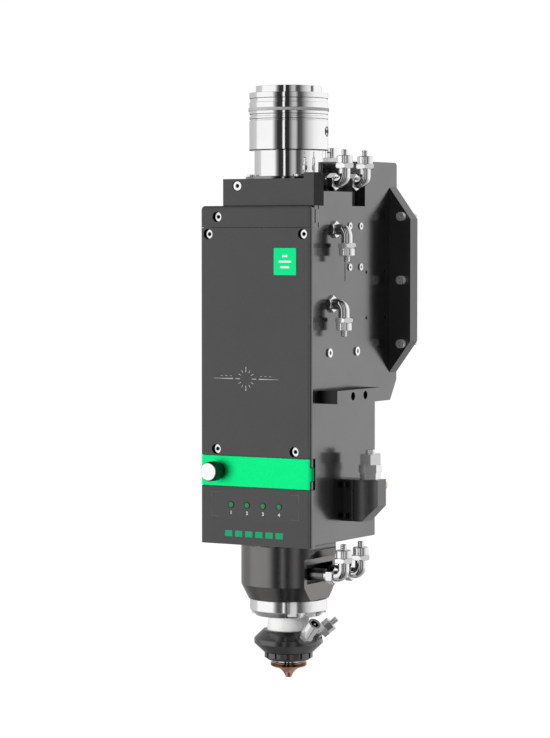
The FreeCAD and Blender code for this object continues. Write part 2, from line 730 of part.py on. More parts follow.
def led_places():
    """Positions of the status lamps as (x, z)."""
    z = DOOR_Z - LABEL_DOWN - LED_DOWN
    first = -LED_PITCH * (LED_COUNT - 1) / 2
    return [(first + i * LED_PITCH, z) for i in range(LED_COUNT)]


def label_box(depth):
    """Space of the status label in the lower panel."""
    top = DOOR_Z - LABEL_DOWN
    return box(-LABEL_HALF_W, LABEL_HALF_W, FRONT_Y, FRONT_Y + depth, top - LABEL_H, top)


def lower_front_panel():
    """Lower panel with the label's seat and the lamps' holes."""
    tools = [label_box(LABEL_T).fuse(label_box(LABEL_T).translated(V(0, -1, 0)))]
    for x, z in led_places():
        tools.append(rod(LED_R + SEAT_FIT, V(x, FRONT_Y - 1, z), BACK, COVER_T + 2))
    return cut_all(front_plate(PANEL_Z, DOOR_Z), tools)


def status_label():
    """Printed label around the lamps, flush in its seat."""
    holes = [rod(LED_R + SEAT_FIT, V(x, FRONT_Y - 1, z), BACK, LABEL_T + 2) for x, z in led_places()]
    return cut_all(label_box(LABEL_T), holes)


def status_lamps():
    """Light pipes from the board to just proud of the label."""
    start = FRONT_Y - LED_PROUD
    lamps = []
    for x, z in led_places():
        pipe = rod(LED_R, V(x, start, z), BACK, BOARD_FRONT - start)
        lamps.append(pipe.makeFillet(LED_PROUD * 0.9, [pipe.Edges[i] for i in lamp_front_edges(pipe)]))
    return lamps


def lamp_front_edges(pipe):
    """Indices of the circular edge at the front of a light pipe."""
    found = []
    for i, edge in enumerate(pipe.Edges):
        box_y = edge.BoundBox
        if box_y.YMax - box_y.YMin < 0.01 and box_y.YMax < FRONT_Y:
            found.append(i)
    return found


def status_board():
    """Board behind the lamps, resting on the ledge of its pocket."""
    return box(-BOARD_HALF_W, BOARD_HALF_W, BOARD_FRONT, BOARD_FRONT + BOARD_T,
               BOARD_Z, BOARD_Z + BOARD_H)


def knuckle_heights():
    """Heights of the three hinge knuckles, lowest first."""
    middle = (DOOR_MID_Z - HINGE_MIDDLE_H / 2, DOOR_MID_Z + HINGE_MIDDLE_H / 2)
    return [(DOOR_Z, middle[0]), middle, (middle[1], COVER_Z)]


def lens_door():
    """Door over the drawer: a plate whose right end wraps the middle hinge knuckle."""
    low, high = DOOR_Z + MOVING_GAP, COVER_Z - MOVING_GAP
    plate = box(-BODY_HALF_W, HINGE_X, FRONT_Y, DOOR_REAR, low, high)
    plate = round_edges(plate, COVER_EDGE_R,
                        lambda p, d: abs(d.z) > 0.9 and p.y < FRONT_Y + 1 and p.x < 0)
    end = box(HINGE_X - HINGE_R, BODY_HALF_W, FRONT_Y, HINGE_Y, low, high)
    end = round_edges(end, COVER_EDGE_R,
                      lambda p, d: abs(d.z) > 0.9 and p.y < FRONT_Y + 1 and p.x > HINGE_X)
    barrel = pillar(HINGE_R, low, high, HINGE_X, HINGE_Y)
    door = fuse_all([plate, end, barrel])
    pocket_y = HINGE_Y - HINGE_KNUCKLE_R - MOVING_GAP
    bottom, middle, top = knuckle_heights()
    for z0, z1 in ((low - 1, bottom[1] + MOVING_GAP / 2), (top[0] - MOVING_GAP / 2, high + 1)):
        room = box(HINGE_X - HINGE_R - MOVING_GAP, BODY_HALF_W + 1, pocket_y, HINGE_Y + HINGE_R + 1, z0, z1)
        door = door.cut(room)
    pin_hole = pillar(HINGE_PIN_R + RUNNING_FIT, low - 1, high + 1, HINGE_X, HINGE_Y)
    screw_hole = rod(THUMB_SHANK_R + MOVING_GAP, V(THUMB_X, FRONT_Y - 1, DOOR_MID_Z), BACK, COVER_T + 2)
    return cut_all(door, [pin_hole, screw_hole])


def hinge_bracket():
    """Two fixed knuckles on arms that reach forward from the body's hinge relief."""
    relief = HINGE_R + HINGE_RELIEF
    bottom, middle, top = knuckle_heights()
    parts = []
    for z0, z1 in ((DOOR_Z, bottom[1] - MOVING_GAP / 2), (top[0] + MOVING_GAP / 2, COVER_Z)):
        knuckle = pillar(HINGE_KNUCKLE_R, z0, z1, HINGE_X, HINGE_Y)
        arm = box(HINGE_X - HINGE_KNUCKLE_R, HINGE_X - HINGE_KNUCKLE_R + HINGE_ARM_W,
                  HINGE_Y, HINGE_Y + relief + 1, z0, z1)
        reach = pillar(relief, z0, z1, HINGE_X, HINGE_Y)
        whole = knuckle.fuse(arm.common(reach)).removeSplitter()
        parts.append(whole.cut(pillar(HINGE_PIN_R + SEAT_FIT / 2, z0 - 1, z1 + 1, HINGE_X, HINGE_Y)))
    return parts


def hinge_pin():
    """Steel pin through the three knuckles."""
    return pillar(HINGE_PIN_R, DOOR_Z + MOVING_GAP, COVER_Z - MOVING_GAP, HINGE_X, HINGE_Y)


def door_thumbscrew():
    """Knurled captive screw that holds the door shut."""
    head = rod(THUMB_R, V(THUMB_X, FRONT_Y - MOVING_GAP - THUMB_L, DOOR_MID_Z), BACK, THUMB_L)
    rims = [e for e in head.Edges if e.BoundBox.YMax - e.BoundBox.YMin < 0.01]
    head = head.makeChamfer(THUMB_CHAMFER, rims)
    shank = rod(THUMB_SHANK_R, V(THUMB_X, FRONT_Y - MOVING_GAP, DOOR_MID_Z), BACK,
                COVER_T + MOVING_GAP + THUMB_REACH)
    return fuse_all([head, shank])


def lens_drawer():
    """Drawer that carries the protective window, with a grip groove in its face."""
    body = box(-DRAWER_HALF_W, DRAWER_HALF_W, DRAWER_FRONT, DRAWER_REAR,
               DRAWER_Z, DRAWER_Z + DRAWER_BODY_H)
    face = box(-DRAWER_HALF_W, DRAWER_HALF_W, DRAWER_FRONT, DRAWER_FRONT + DRAWER_FACE_T,
               DRAWER_Z - DRAWER_FACE_OVERHANG, DRAWER_Z + DRAWER_BODY_H + DRAWER_FACE_OVERHANG)
    drawer = fuse_all([body, face])
    pocket = pillar(WINDOW_R + SEAT_FIT, DRAWER_Z + DRAWER_FLOOR, DRAWER_Z + DRAWER_BODY_H + 1)
    aperture = pillar(WINDOW_R - WINDOW_LIP, DRAWER_Z - 1, DRAWER_Z + DRAWER_BODY_H + 1)
    grip = box(-GRIP_HALF_W, GRIP_HALF_W, DRAWER_FRONT - 1, DRAWER_FRONT + GRIP_DEPTH,
               DOOR_MID_Z - GRIP_H / 2, DOOR_MID_Z + GRIP_H / 2)
    return cut_all(drawer, [pocket, aperture, grip])


def washer(outer, inner, z0, thickness):
    """Flat ring on the beam axis."""
    return pillar(outer, z0, z0 + thickness).cut(pillar(inner, z0 - 1, z0 + thickness + 1))


def lens(radius, edge, bulge, z0):
    """Lens with a flat lower face and a domed upper one."""
    sphere_r = (radius * radius + bulge * bulge) / (2 * bulge)
    dome = Part.makeSphere(sphere_r, V(0, 0, z0 + edge + bulge - sphere_r))
    blank = pillar(radius, z0, z0 + edge + bulge + 1)
    return blank.common(dome)


def focus_carriage():
    """Carriage with the focus lens cell, two guide lugs and an arm for the actuator."""
    z0, z1 = FOCUS_Z - CARRIAGE_H / 2, FOCUS_Z + CARRIAGE_H / 2
    cell = pillar(FOCUS_LENS_R + CELL_WALL, z0, z1)
    lug_r = ROD_R + LUG_WALL
    lugs = [pillar(lug_r, z0, z1, x, ROD_Y) for x in (-ROD_X, ROD_X)]
    bridge = box(-ROD_X, ROD_X, ROD_Y - lug_r, ROD_Y + lug_r, z0, z1)
    arm_half = SCREW_R + LUG_WALL
    arm = box(-arm_half, arm_half, 0, MOTOR_Y + arm_half, z0, z1)
    whole = fuse_all([cell, bridge, arm] + lugs)
    seat_z = FOCUS_Z - FOCUS_LENS_EDGE / 2
    tools = [
        pillar(FOCUS_LENS_R + SEAT_FIT, seat_z, z1 + 1),
        pillar(FOCUS_LENS_R - WINDOW_LIP, z0 - 1, z1 + 1),
        pillar(SCREW_R + SEAT_FIT / 2, z0 + LUG_WALL, z1 + 1, 0, MOTOR_Y),
    ]
    tools += [pillar(ROD_R + RUNNING_FIT, z0 - 1, z1 + 1, x, ROD_Y) for x in (-ROD_X, ROD_X)]
    return cut_all(whole, tools)


def focus_lens():
    """Focusing lens."""
    return lens(FOCUS_LENS_R, FOCUS_LENS_EDGE, FOCUS_LENS_BULGE, FOCUS_Z - FOCUS_LENS_EDGE / 2)


def focus_retainer():
    """Threaded ring over the focusing lens."""
    z0 = FOCUS_Z + FOCUS_LENS_EDGE / 2
    profile_lip = FOCUS_LENS_R - WINDOW_LIP / 2
    ring = washer(FOCUS_LENS_R, profile_lip, z0, RETAINER_T)
    return ring.cut(focus_lens())


def focus_screw():
    """Lead screw fixed in the carriage; the motor's nut moves it up and down."""
    z0 = FOCUS_Z - CARRIAGE_H / 2 + LUG_WALL
    return pillar(SCREW_R, z0, z0 + SCREW_ABOVE, 0, MOTOR_Y)


def focus_motor():
    """Hollow linear actuator hung from the chamber's roof."""
    half = MOTOR_W / 2
    motor = box(-half, half, MOTOR_Y - half, MOTOR_Y + half, CHAMBER_TOP - MOTOR_H, CHAMBER_TOP)
    motor = round_edges(motor, MOTOR_EDGE_R, lambda p, d: abs(d.z) > 0.9)
    return motor.cut(pillar(SCREW_R + MOVING_GAP, CHAMBER_TOP - MOTOR_H - 1, CHAMBER_TOP + 1, 0, MOTOR_Y))


def guide_rods():
    """Two ground rods that guide the carriage."""
    z0, z1 = CHAMBER_Z - ROD_SEAT, CHAMBER_TOP + ROD_SEAT
    return [pillar(ROD_R, z0, z1, x, ROD_Y) for x in (-ROD_X, ROD_X)]


def limit_switches():
    """Switches on the right wall at the two ends of the carriage's travel."""
    dx, dy, dz = SWITCH_SIZE
    reach = CARRIAGE_H / 2 + FOCUS_TRAVEL
    places = (FOCUS_Z - reach - dz / 2, FOCUS_Z + reach + dz / 2)
    return [box(INNER_HALF_W - dx, INNER_HALF_W, SWITCH_Y, SWITCH_Y + dy, z - dz / 2, z + dz / 2)
            for z in places]


def board_corners():
    """Standoff places of the control board as (x, z)."""
    z0 = PLATE_Z + CONTROL_BOARD_UP
    inset = 2 * STANDOFF_R
    xs = (-CONTROL_BOARD_HALF_W + inset, CONTROL_BOARD_HALF_W - inset)
    return [(x, z) for x in xs for z in (z0 + inset, z0 + CONTROL_BOARD_H - inset)]


def control_board():
    """Drive electronics on the inside of the mounting plate."""
    z0 = PLATE_Z + CONTROL_BOARD_UP
    rear = PLATE_FRONT - STANDOFF_L
    board = box(-CONTROL_BOARD_HALF_W, CONTROL_BOARD_HALF_W, rear - BOARD_T, rear, z0, z0 + CONTROL_BOARD_H)
    face = rear - BOARD_T
    chip = box(-CHIP_SIDE / 2, CHIP_SIDE / 2, face - CHIP_T, face, z0 + CHIP_UP, z0 + CHIP_UP + CHIP_SIDE)
    plug_x = BOARD_PLUG_IN - CONTROL_BOARD_HALF_W
    plug = box(plug_x, plug_x + BOARD_PLUG_W, face - BOARD_PLUG_T, face,
               z0 + BOARD_PLUG_UP, z0 + BOARD_PLUG_UP + BOARD_PLUG_H)
    return fuse_all([board, chip, plug])


def board_standoffs():
    """Four spacers between the control board and the plate."""
    y = PLATE_FRONT - STANDOFF_L
    return [rod(STANDOFF_R, V(x, y, z), BACK, STANDOFF_L) for x, z in board_corners()]


def stud_places():
    """Mounting screw places on the plate's wings as (x, z)."""
    mid = PLATE_Z + PLATE_H / 2
    return [(x, mid + i * STUD_PITCH) for x in (-STUD_X, STUD_X) for i in (-1, 0, 1)]


def rear_mounting_plate():
    """Eight-cornered plate whose wings bolt to the machine's slide."""
    z0, z1 = PLATE_Z, PLATE_Z + PLATE_H
    outline = []
    for side in (1, -1):
        wing = [
            (side * BODY_HALF_W, z0),
            (side * PLATE_HALF_W, z0 + PLATE_CORNER_H),
            (side * PLATE_HALF_W, z1 - PLATE_CORNER_H),
            (side * BODY_HALF_W, z1),
        ]
        outline += wing if side == 1 else wing[::-1]
    plate = plate_xz(outline, PLATE_FRONT, REAR_Y)
    holes = [rod(M4[0] + HOLE_PLAY, V(x, PLATE_FRONT - 1, z), BACK, REAR_PLATE_T + 2) for x, z in stud_places()]
    return cut_all(plate, holes)


def mounting_screws():
    """Six captive screws: a waisted shank through the wing, and the thread behind it."""
    screws = []
    for x, z in stud_places():
        seat = V(x, PLATE_FRONT, z)
        waisted = cap_screw((STUD_WAIST_R,) + M4[1:], seat, BACK, REAR_PLATE_T)
        thread = rod(M4[0], V(x, REAR_Y, z), BACK, STUD_OUT)
        screws.append(waisted.fuse(thread).removeSplitter())
    return screws


def cover_screws():
    """Screws of the front covers and of the fibre block."""
    places = COVER_SCREWS_XZ + (TOP_PLATE_SCREW_XZ,)
    screws = [cap_screw(M4_LOW, front_seat(xz), BACK, SCREW_GRIP) for xz in places]
    block_seat = V(BLOCK_SCREW_X, BLOCK_FRONT_Y + BLOCK_SCREW_RECESS + M4[2], BODY_TOP + BLOCK_SCREW_UP)
    return screws + [cap_screw(M4, block_seat, BACK, SCREW_GRIP)]


def side_rail():
    """Bar on the right side, held by two sunk screws."""
    z0 = BODY_Z + RAIL_UP
    bar = box(BODY_HALF_W, BODY_HALF_W + RAIL_OUT, RAIL_Y[0], RAIL_Y[1], z0, z0 + RAIL_H)
    seat_x = BODY_HALF_W + RAIL_OUT / 2
    for y in RAIL_SCREWS_Y:
        start = V(seat_x, y, z0 + RAIL_H / 2)
        bar = bar.cut(rod(M4[0] + HOLE_PLAY, start, RIGHT * -1, RAIL_OUT))
        bar = bar.cut(rod(M4_NARROW[1] + MOVING_GAP, start, RIGHT, RAIL_OUT))
    return bar


def rail_screws():
    """Two screws deep in the bar."""
    start_x = BODY_HALF_W + RAIL_OUT / 2
    z = BODY_Z + RAIL_UP + RAIL_H / 2
    grip = RAIL_OUT / 2 + WALL_T - 1
    return [cap_screw(M4_NARROW, V(start_x, y, z), RIGHT * -1, grip) for y in RAIL_SCREWS_Y]


def wall_screws(size, places):
    """Screws whose heads stand on the right wall."""
    thread_r, head_r, head_h = size
    low_h = head_h * WALL_HEAD_SHARE
    found = []
    for y, z in places:
        start = V(BODY_HALF_W, y, z)
        shank = rod(thread_r, start, RIGHT * -1, WALL_T - 1)
        head = rod(head_r, start, RIGHT, low_h)
        socket = hex_bar(thread_r * SOCKET_SHARE, start + RIGHT * low_h, RIGHT * -1, low_h * SOCKET_OF_HEAD)
        found.append(shank.fuse(head).removeSplitter().cut(socket))
    return found


def lens_housing():
    """Black nose piece: drum and cone with a flat, a sloping roof above it and a hose pocket."""
    profile = [
        (LENS_BORE_R, LENS_Z + RING_BAND_H),
        (RING_THREAD_R + MOVING_GAP, LENS_Z + RING_BAND_H),
        (RING_THREAD_R + MOVING_GAP, LENS_Z),
        (LENS_FOOT_R, LENS_Z),
        (LENS_R, LENS_CYL_Z),
        (LENS_R, LENS_TOP),
        (LENS_BORE_R, LENS_TOP),
    ]
    body = turned(profile)
    flat_top = LENS_Z + LENS_FLAT_TOP_H
    roof = [
        (LENS_FLAT_X, LENS_Z - 1),
        (LENS_R + 1, LENS_Z - 1),
        (LENS_R + 1, flat_top + LENS_OVERHANG_H * (LENS_R + 1 - LENS_FLAT_X) / (LENS_R - LENS_FLAT_X)),
        (LENS_FLAT_X, flat_top),
    ]
    body = body.cut(plate_xz(roof, -LENS_R - 1, LENS_R + 1))
    body = body.cut(box(LENS_STEP_X, LENS_R + 1, -LENS_R - 1, LENS_R + 1, LENS_TOP - LENS_STEP_H, LENS_TOP + 1))
    mid = nose_port_z()
    pocket = box(LENS_FLAT_X - POCKET_DEPTH, LENS_R + 1, -POCKET_HALF_Y, POCKET_HALF_Y,
                 mid - POCKET_H / 2, mid + POCKET_H / 2)
    body = body.cut(pocket)
    floor_x = LENS_FLAT_X - POCKET_DEPTH
    for y in (-NOSE_ELBOW_Y, NOSE_ELBOW_Y):
        boss = rod(NOSE_BOSS_R, V(floor_x - 1, y, mid), RIGHT, NOSE_BOSS_X - floor_x + 1)
        body = body.fuse(boss)
    body = body.removeSplitter()
    for y in (-NOSE_ELBOW_Y, NOSE_ELBOW_Y):
        hole = rod(HOSE_THREAD_R + SEAT_FIT, V(NOSE_BOSS_X - HOSE_THREAD_L - 1, y, mid), RIGHT,
                   HOSE_THREAD_L + 2)
        body = body.cut(hole)
    return body


def nose_port_z():
    """Height of the two hose ports on the lens housing."""
    return LENS_CYL_Z + POCKET_UP + POCKET_H / 2


def neck_ring():
    """Polished ring between the body and the lens housing, with a spigot up into the body."""
    spigot_r = NECK_RING_R - WALL_T
    profile = [
        (LENS_BORE_R, LENS_TOP),
        (NECK_RING_R, LENS_TOP),
        (NECK_RING_R, BODY_Z),
        (spigot_r, BODY_Z),
        (spigot_r, BODY_Z + SPIGOT_H),
        (LENS_BORE_R, BODY_Z + SPIGOT_H),
    ]
    return turned(profile)


def lock_ring():
    """Slotted ring that clamps the insulating sleeve to the lens housing."""
    thread_in = SLEEVE_FLANGE_R + MOVING_GAP
    mouth_in = SLEEVE_FOOT_R + MOVING_GAP
    lip_z = RING_TOP
    profile = [
        (mouth_in, RING_Z),
        (RING_MOUTH_R, RING_Z),
        (RING_R, RING_Z + RING_CHAMFER_H),
        (RING_R, RING_TOP),
        (RING_THREAD_R, RING_TOP),
        (RING_THREAD_R, RING_TOP + RING_THREAD_L),
        (thread_in, RING_TOP + RING_THREAD_L),
        (thread_in, lip_z),
        (mouth_in, lip_z),
    ]
    ring = turned(profile)
    slot = box(RING_R - RING_SLOT_DEPTH, RING_R + 1, -RING_SLOT_W / 2, RING_SLOT_W / 2,
               RING_Z - 1, RING_TOP + 1)
    return cut_all(ring, around(RING_SLOTS, RING_FIRST_SLOT_DEG - 90, slot))


def insulating_sleeve():
    """White ceramic sleeve that isolates the sensor from the housing."""
    flange_z = RING_TOP + MOVING_GAP
    seat_z = LENS_Z + RING_BAND_H
    profile = [
        (SENSOR_BORE_R, SLEEVE_Z),
        (SLEEVE_FOOT_R, SLEEVE_Z),
        (SLEEVE_FOOT_R, SENSOR_TOP),
        (SLEEVE_TOP_R, RING_Z - 2),
        (SLEEVE_TOP_R, flange_z),
        (SLEEVE_FLANGE_R, flange_z),
        (SLEEVE_FLANGE_R, seat_z),
        (SENSOR_BORE_R, seat_z),
    ]
    return turned(profile)


def connector_frame(azimuth_deg, tilt_deg):
    """Seat point on the sensor's upper cone and the outward direction there.

    The azimuth is counted from the front towards the right."""
    a = math.radians(azimuth_deg - 90)
    t = math.radians(tilt_deg)
    direction = V(math.cos(a) * math.cos(t), math.sin(a) * math.cos(t), math.sin(t))
    mid_r = (SENSOR_R + SENSOR_TOP_R) / 2
    mid_z = SENSOR_CONE_Z + SENSOR_UPPER_CONE_H / 2
    on_cone = V(math.cos(a) * mid_r, math.sin(a) * mid_r, mid_z)
    return on_cone - direction * SENSOR_FLAT_DEPTH, direction


def sensor_body():
    """Black capacitive sensor body with two flats for its connectors."""
    spigot_r = CERAMIC_R + SEAT_FIT + SPIGOT_WALL
    ceramic_top = CERAMIC_Z + CERAMIC_H
    profile = [
        (SENSOR_BORE_R, ceramic_top),
        (CERAMIC_R + SEAT_FIT, ceramic_top),
        (CERAMIC_R + SEAT_FIT, CERAMIC_Z),
        (spigot_r, CERAMIC_Z),
        (spigot_r, SENSOR_Z),
        (SENSOR_FOOT_R, SENSOR_Z),
        (SENSOR_R, SENSOR_BAND_Z),
        (SENSOR_R, SENSOR_CONE_Z),
        (SENSOR_TOP_R, SENSOR_TOP),
        (SLEEVE_FOOT_R + SEAT_FIT, SENSOR_TOP),
        (SLEEVE_FOOT_R + SEAT_FIT, SLEEVE_Z),
        (SENSOR_BORE_R, SLEEVE_Z),
    ]
    body = turned(profile)
    for azimuth, tilt in ((SENSOR_PLUG_DEG, SENSOR_PLUG_TILT), (PURGE_DEG, PURGE_TILT)):
        seat, direction = connector_frame(azimuth, tilt)
        body = body.cut(rod(SENSOR_R / 3, seat, direction, SENSOR_R))
        body = body.cut(rod(PURGE_STEM_R / 2 + SEAT_FIT, seat - direction * CONNECTOR_SEAT, direction,
                            CONNECTOR_SEAT + 1))
    return body


def sensor_connector():
    """Round socket for the sensor's signal lead."""
    seat, direction = connector_frame(SENSOR_PLUG_DEG, SENSOR_PLUG_TILT)
    stem = rod(PURGE_STEM_R / 2, seat - direction * CONNECTOR_SEAT, direction, CONNECTOR_SEAT)
    base = hex_bar(SENSOR_PLUG_HEX_AF, seat, direction, SENSOR_PLUG_HEX_L)
    end = seat + direction * SENSOR_PLUG_HEX_L
    barrel = rod(SENSOR_PLUG_R, end, direction, SENSOR_PLUG_L)
    whole = fuse_all([stem, base, barrel])
    mouth = end + direction * (SENSOR_PLUG_L - SENSOR_PLUG_BORE_L)
    return whole.cut(rod(SENSOR_PLUG_BORE_R, mouth, direction, SENSOR_PLUG_BORE_L + 1))


def purge_fitting():
    """Small hose fitting that cools the sensor."""
    seat, direction = connector_frame(PURGE_DEG, PURGE_TILT)
    at = seat - direction * CONNECTOR_SEAT
    parts = [rod(PURGE_STEM_R / 2, at, direction, CONNECTOR_SEAT)]
    at = seat
    parts.append(rod(PURGE_STEM_R, at, direction, PURGE_STEM_L))
    at = at + direction * PURGE_STEM_L
    parts.append(hex_bar(PURGE_HEX_AF, at, direction, PURGE_HEX_L))
    at = at + direction * PURGE_HEX_L
    parts.append(hex_bar(PURGE_NUT_AF, at, direction, PURGE_NUT_L, HEX_TURN))
    at = at + direction * PURGE_NUT_L
    parts.append(rod(PURGE_BARB_R, at, direction, PURGE_BARB_L))
    return fuse_all(parts)


def ceramic_ring():
    """Ceramic ring that holds the nozzle's metal seat."""
    return washer(CERAMIC_R, SEAT_CORE_R + SEAT_FIT / 2, CERAMIC_Z, CERAMIC_H)


def nozzle_seat():
    """Brass seat with the nozzle's thread."""
    bore = NOZZLE_STEM_R + RUNNING_FIT
    profile = [
        (bore, SEAT_Z),
        (SEAT_RIM_R, SEAT_Z),
        (SEAT_RIM_R, CERAMIC_Z),
        (SEAT_CORE_R, CERAMIC_Z),
        (SEAT_CORE_R, CERAMIC_Z + CERAMIC_H),
        (bore, CERAMIC_Z + CERAMIC_H),
    ]
    return turned(profile)


def ceramic_lock_ring():
    """Knurled black ring that clamps the ceramic ring into the sensor body."""
    band_z = CERAMIC_RING_Z + CERAMIC_RING_CHAMFER_H
    spigot_r = CERAMIC_R + SEAT_FIT + SPIGOT_WALL
    mouth_in = SEAT_RIM_R + MOVING_GAP
    profile = [
        (mouth_in, CERAMIC_RING_Z),
        (CERAMIC_RING_MOUTH_R, CERAMIC_RING_Z),
        (CERAMIC_RING_R, band_z),
        (CERAMIC_RING_R, CERAMIC_RING_TOP),
        (spigot_r + MOVING_GAP, CERAMIC_RING_TOP),
        (spigot_r + MOVING_GAP, band_z),
        (mouth_in, band_z),
    ]
    ring = turned(profile)
    slot = box(CERAMIC_RING_R - CERAMIC_RING_SLOT_DEPTH, CERAMIC_RING_R + 1,
               -CERAMIC_RING_SLOT_W / 2, CERAMIC_RING_SLOT_W / 2, band_z, CERAMIC_RING_TOP + 1)
    return cut_all(ring, around(CERAMIC_RING_SLOTS, 0, slot))


def nozzle():
    """Copper nozzle with a hollow-ground flank and a stepped bore."""
    flange_z = NOZZLE_CONE_H
    top = flange_z + NOZZLE_FLANGE_T
    stem_top = top + NOZZLE_STEM_L
    tip = V(NOZZLE_TIP_R, 0, 0)
    flank_top = V(NOZZLE_FLANGE_R - NOZZLE_CHAMFER_R, 0, flange_z)
    flank_mid = V(NOZZLE_HOLLOW_R, 0, NOZZLE_HOLLOW_H)
    rim = flange_z + NOZZLE_CHAMFER_H
    outline = [
        Part.makeLine(V(ORIFICE_R, 0, 0), tip),
        Part.Arc(tip, flank_mid, flank_top).toShape(),
        Part.makeLine(flank_top, V(NOZZLE_FLANGE_R, 0, rim)),
        Part.makeLine(V(NOZZLE_FLANGE_R, 0, rim), V(NOZZLE_FLANGE_R, 0, top)),
        Part.makeLine(V(NOZZLE_FLANGE_R, 0, top), V(NOZZLE_STEM_R, 0, top)),
        Part.makeLine(V(NOZZLE_STEM_R, 0, top), V(NOZZLE_STEM_R, 0, stem_top)),
        Part.makeLine(V(NOZZLE_STEM_R, 0, stem_top), V(NOZZLE_BORE_R, 0, stem_top)),
        Part.makeLine(V(NOZZLE_BORE_R, 0, stem_top), V(NOZZLE_BORE_R, 0, top)),
        Part.makeLine(V(NOZZLE_BORE_R, 0, top), V(ORIFICE_R, 0, ORIFICE_L)),
        Part.makeLine(V(ORIFICE_R, 0, ORIFICE_L), V(ORIFICE_R, 0, 0)),
    ]
    return Part.Face(Part.Wire(outline)).revolve(V(0, 0, 0), UP, 360)


def fibre_block():
    """Block on top of the body that carries the fibre socket and the cooling ports."""
    slab = box(BLOCK_LEFT_X, BLOCK_SIDE_X, BLOCK_FRONT_Y, BLOCK_REAR_Y, BODY_TOP, BLOCK_TOP)
    column = box(COLUMN_X, BODY_HALF_W, BLOCK_FRONT_Y, COLUMN_REAR_Y, BODY_TOP, BLOCK_TOP + RIDGE_H)
    ridge = box(RIDGE_X, BLOCK_SIDE_X, COLUMN_REAR_Y - 1, RIDGE_REAR_Y, BLOCK_TOP - 1, BLOCK_TOP + RIDGE_H)
    block = fuse_all([slab, column, ridge])
    seat_y = BLOCK_FRONT_Y + BLOCK_SCREW_RECESS + M4[2]
    screw = V(BLOCK_SCREW_X, seat_y, BODY_TOP + BLOCK_SCREW_UP)
    tools = [
        pillar(BARREL_FLANGE_R + SEAT_FIT, BODY_TOP - 1, BODY_TOP + BARREL_FLANGE_T),
        pillar(BARREL_R - BARREL_WALL, BODY_TOP, BLOCK_TOP + 1),
        rod(M4[0] + SEAT_FIT, screw, BACK, SCREW_GRIP + SCREW_END_ROOM),
        rod(M4[1] + COUNTERBORE_PLAY, screw, BACK * -1, M4[2] + BLOCK_SCREW_RECESS + OVERCUT),
    ]
    for y in (-TOP_ELBOW_Y, TOP_ELBOW_Y):
        start = V(BLOCK_SIDE_X - HOSE_THREAD_L - 1, y, BODY_TOP + TOP_ELBOW_UP)
        tools.append(rod(HOSE_THREAD_R + SEAT_FIT, start, RIGHT, HOSE_THREAD_L + 2))
    for x, y in flange_screw_places():
        tools.append(pillar(M3[0] + SEAT_FIT, BLOCK_TOP - SCREW_GRIP, BLOCK_TOP + 1, x, y))
    return cut_all(block, tools)


def flange_screw_places():
    """Screw places of the fibre socket's flange as (x, y)."""
    angles = [math.radians(45 + i * 360.0 / FLANGE_SCREWS) for i in range(FLANGE_SCREWS)]
    return [(FLANGE_SCREW_R * math.cos(a), FLANGE_SCREW_R * math.sin(a)) for a in angles]


def flange_screws():
    """Screws of the fibre socket's flange."""
    grip = SOCKET_FLANGE_T + SCREW_GRIP - SCREW_END_ROOM
    return [cap_screw(M3_LOW, V(x, y, SOCKET_Z), UP * -1, grip) for x, y in flange_screw_places()]


def collimator_barrel():
    """Tube that hangs from its flange and carries the collimating lens."""
    inner = BARREL_R - BARREL_WALL
    z0 = BODY_TOP - BARREL_DROP
    profile = [
        (inner - WINDOW_LIP, z0),
        (BARREL_R, z0),
        (BARREL_R, BODY_TOP),
        (BARREL_FLANGE_R, BODY_TOP),
        (BARREL_FLANGE_R, BODY_TOP + BARREL_FLANGE_T),
        (inner, BODY_TOP + BARREL_FLANGE_T),
        (inner, z0 + COLLIMATOR_UP),
        (inner - WINDOW_LIP, z0 + COLLIMATOR_UP),
    ]
    return turned(profile)


def collimating_lens():
    """Lens that makes the fibre's light parallel."""
    z0 = BODY_TOP - BARREL_DROP + COLLIMATOR_UP
    return lens(BARREL_R - BARREL_WALL - SEAT_FIT, COLLIMATOR_EDGE, COLLIMATOR_BULGE, z0)


def collimator_retainer():
    """Threaded ring over the collimating lens."""
    outer = BARREL_R - BARREL_WALL - SEAT_FIT
    z0 = BODY_TOP - BARREL_DROP + COLLIMATOR_UP + COLLIMATOR_EDGE
    return washer(outer, outer - WINDOW_LIP / 2, z0, RETAINER_T).cut(collimating_lens())


def fibre_socket():
    """Polished fibre socket: flange, neck and the tube that the fibre plug enters."""
    tube_top = SOCKET_Z + SOCKET_TUBE_H + SOCKET_NECK_H
    plug_floor = tube_top - FIBRE_PLUG_DEPTH
    beam_r = FIBRE_BEAM_R
    profile = [
        (beam_r, BLOCK_TOP),
        (SOCKET_FLANGE_R, BLOCK_TOP),
        (SOCKET_FLANGE_R, SOCKET_Z),
        (SOCKET_NECK_R, SOCKET_Z),
        (SOCKET_NECK_R, SOCKET_Z + SOCKET_NECK_H),
        (SOCKET_TUBE_R, SOCKET_Z + SOCKET_NECK_H),
        (SOCKET_TUBE_R, tube_top),
        (FIBRE_PLUG_R, tube_top),
        (FIBRE_PLUG_R, plug_floor),
        (beam_r, plug_floor),
    ]
    socket = turned(profile)
    holes = [pillar(M3[0] + HOLE_PLAY, BLOCK_TOP - 1, SOCKET_Z + 1, x, y) for x, y in flange_screw_places()]
    return cut_all(socket, holes)


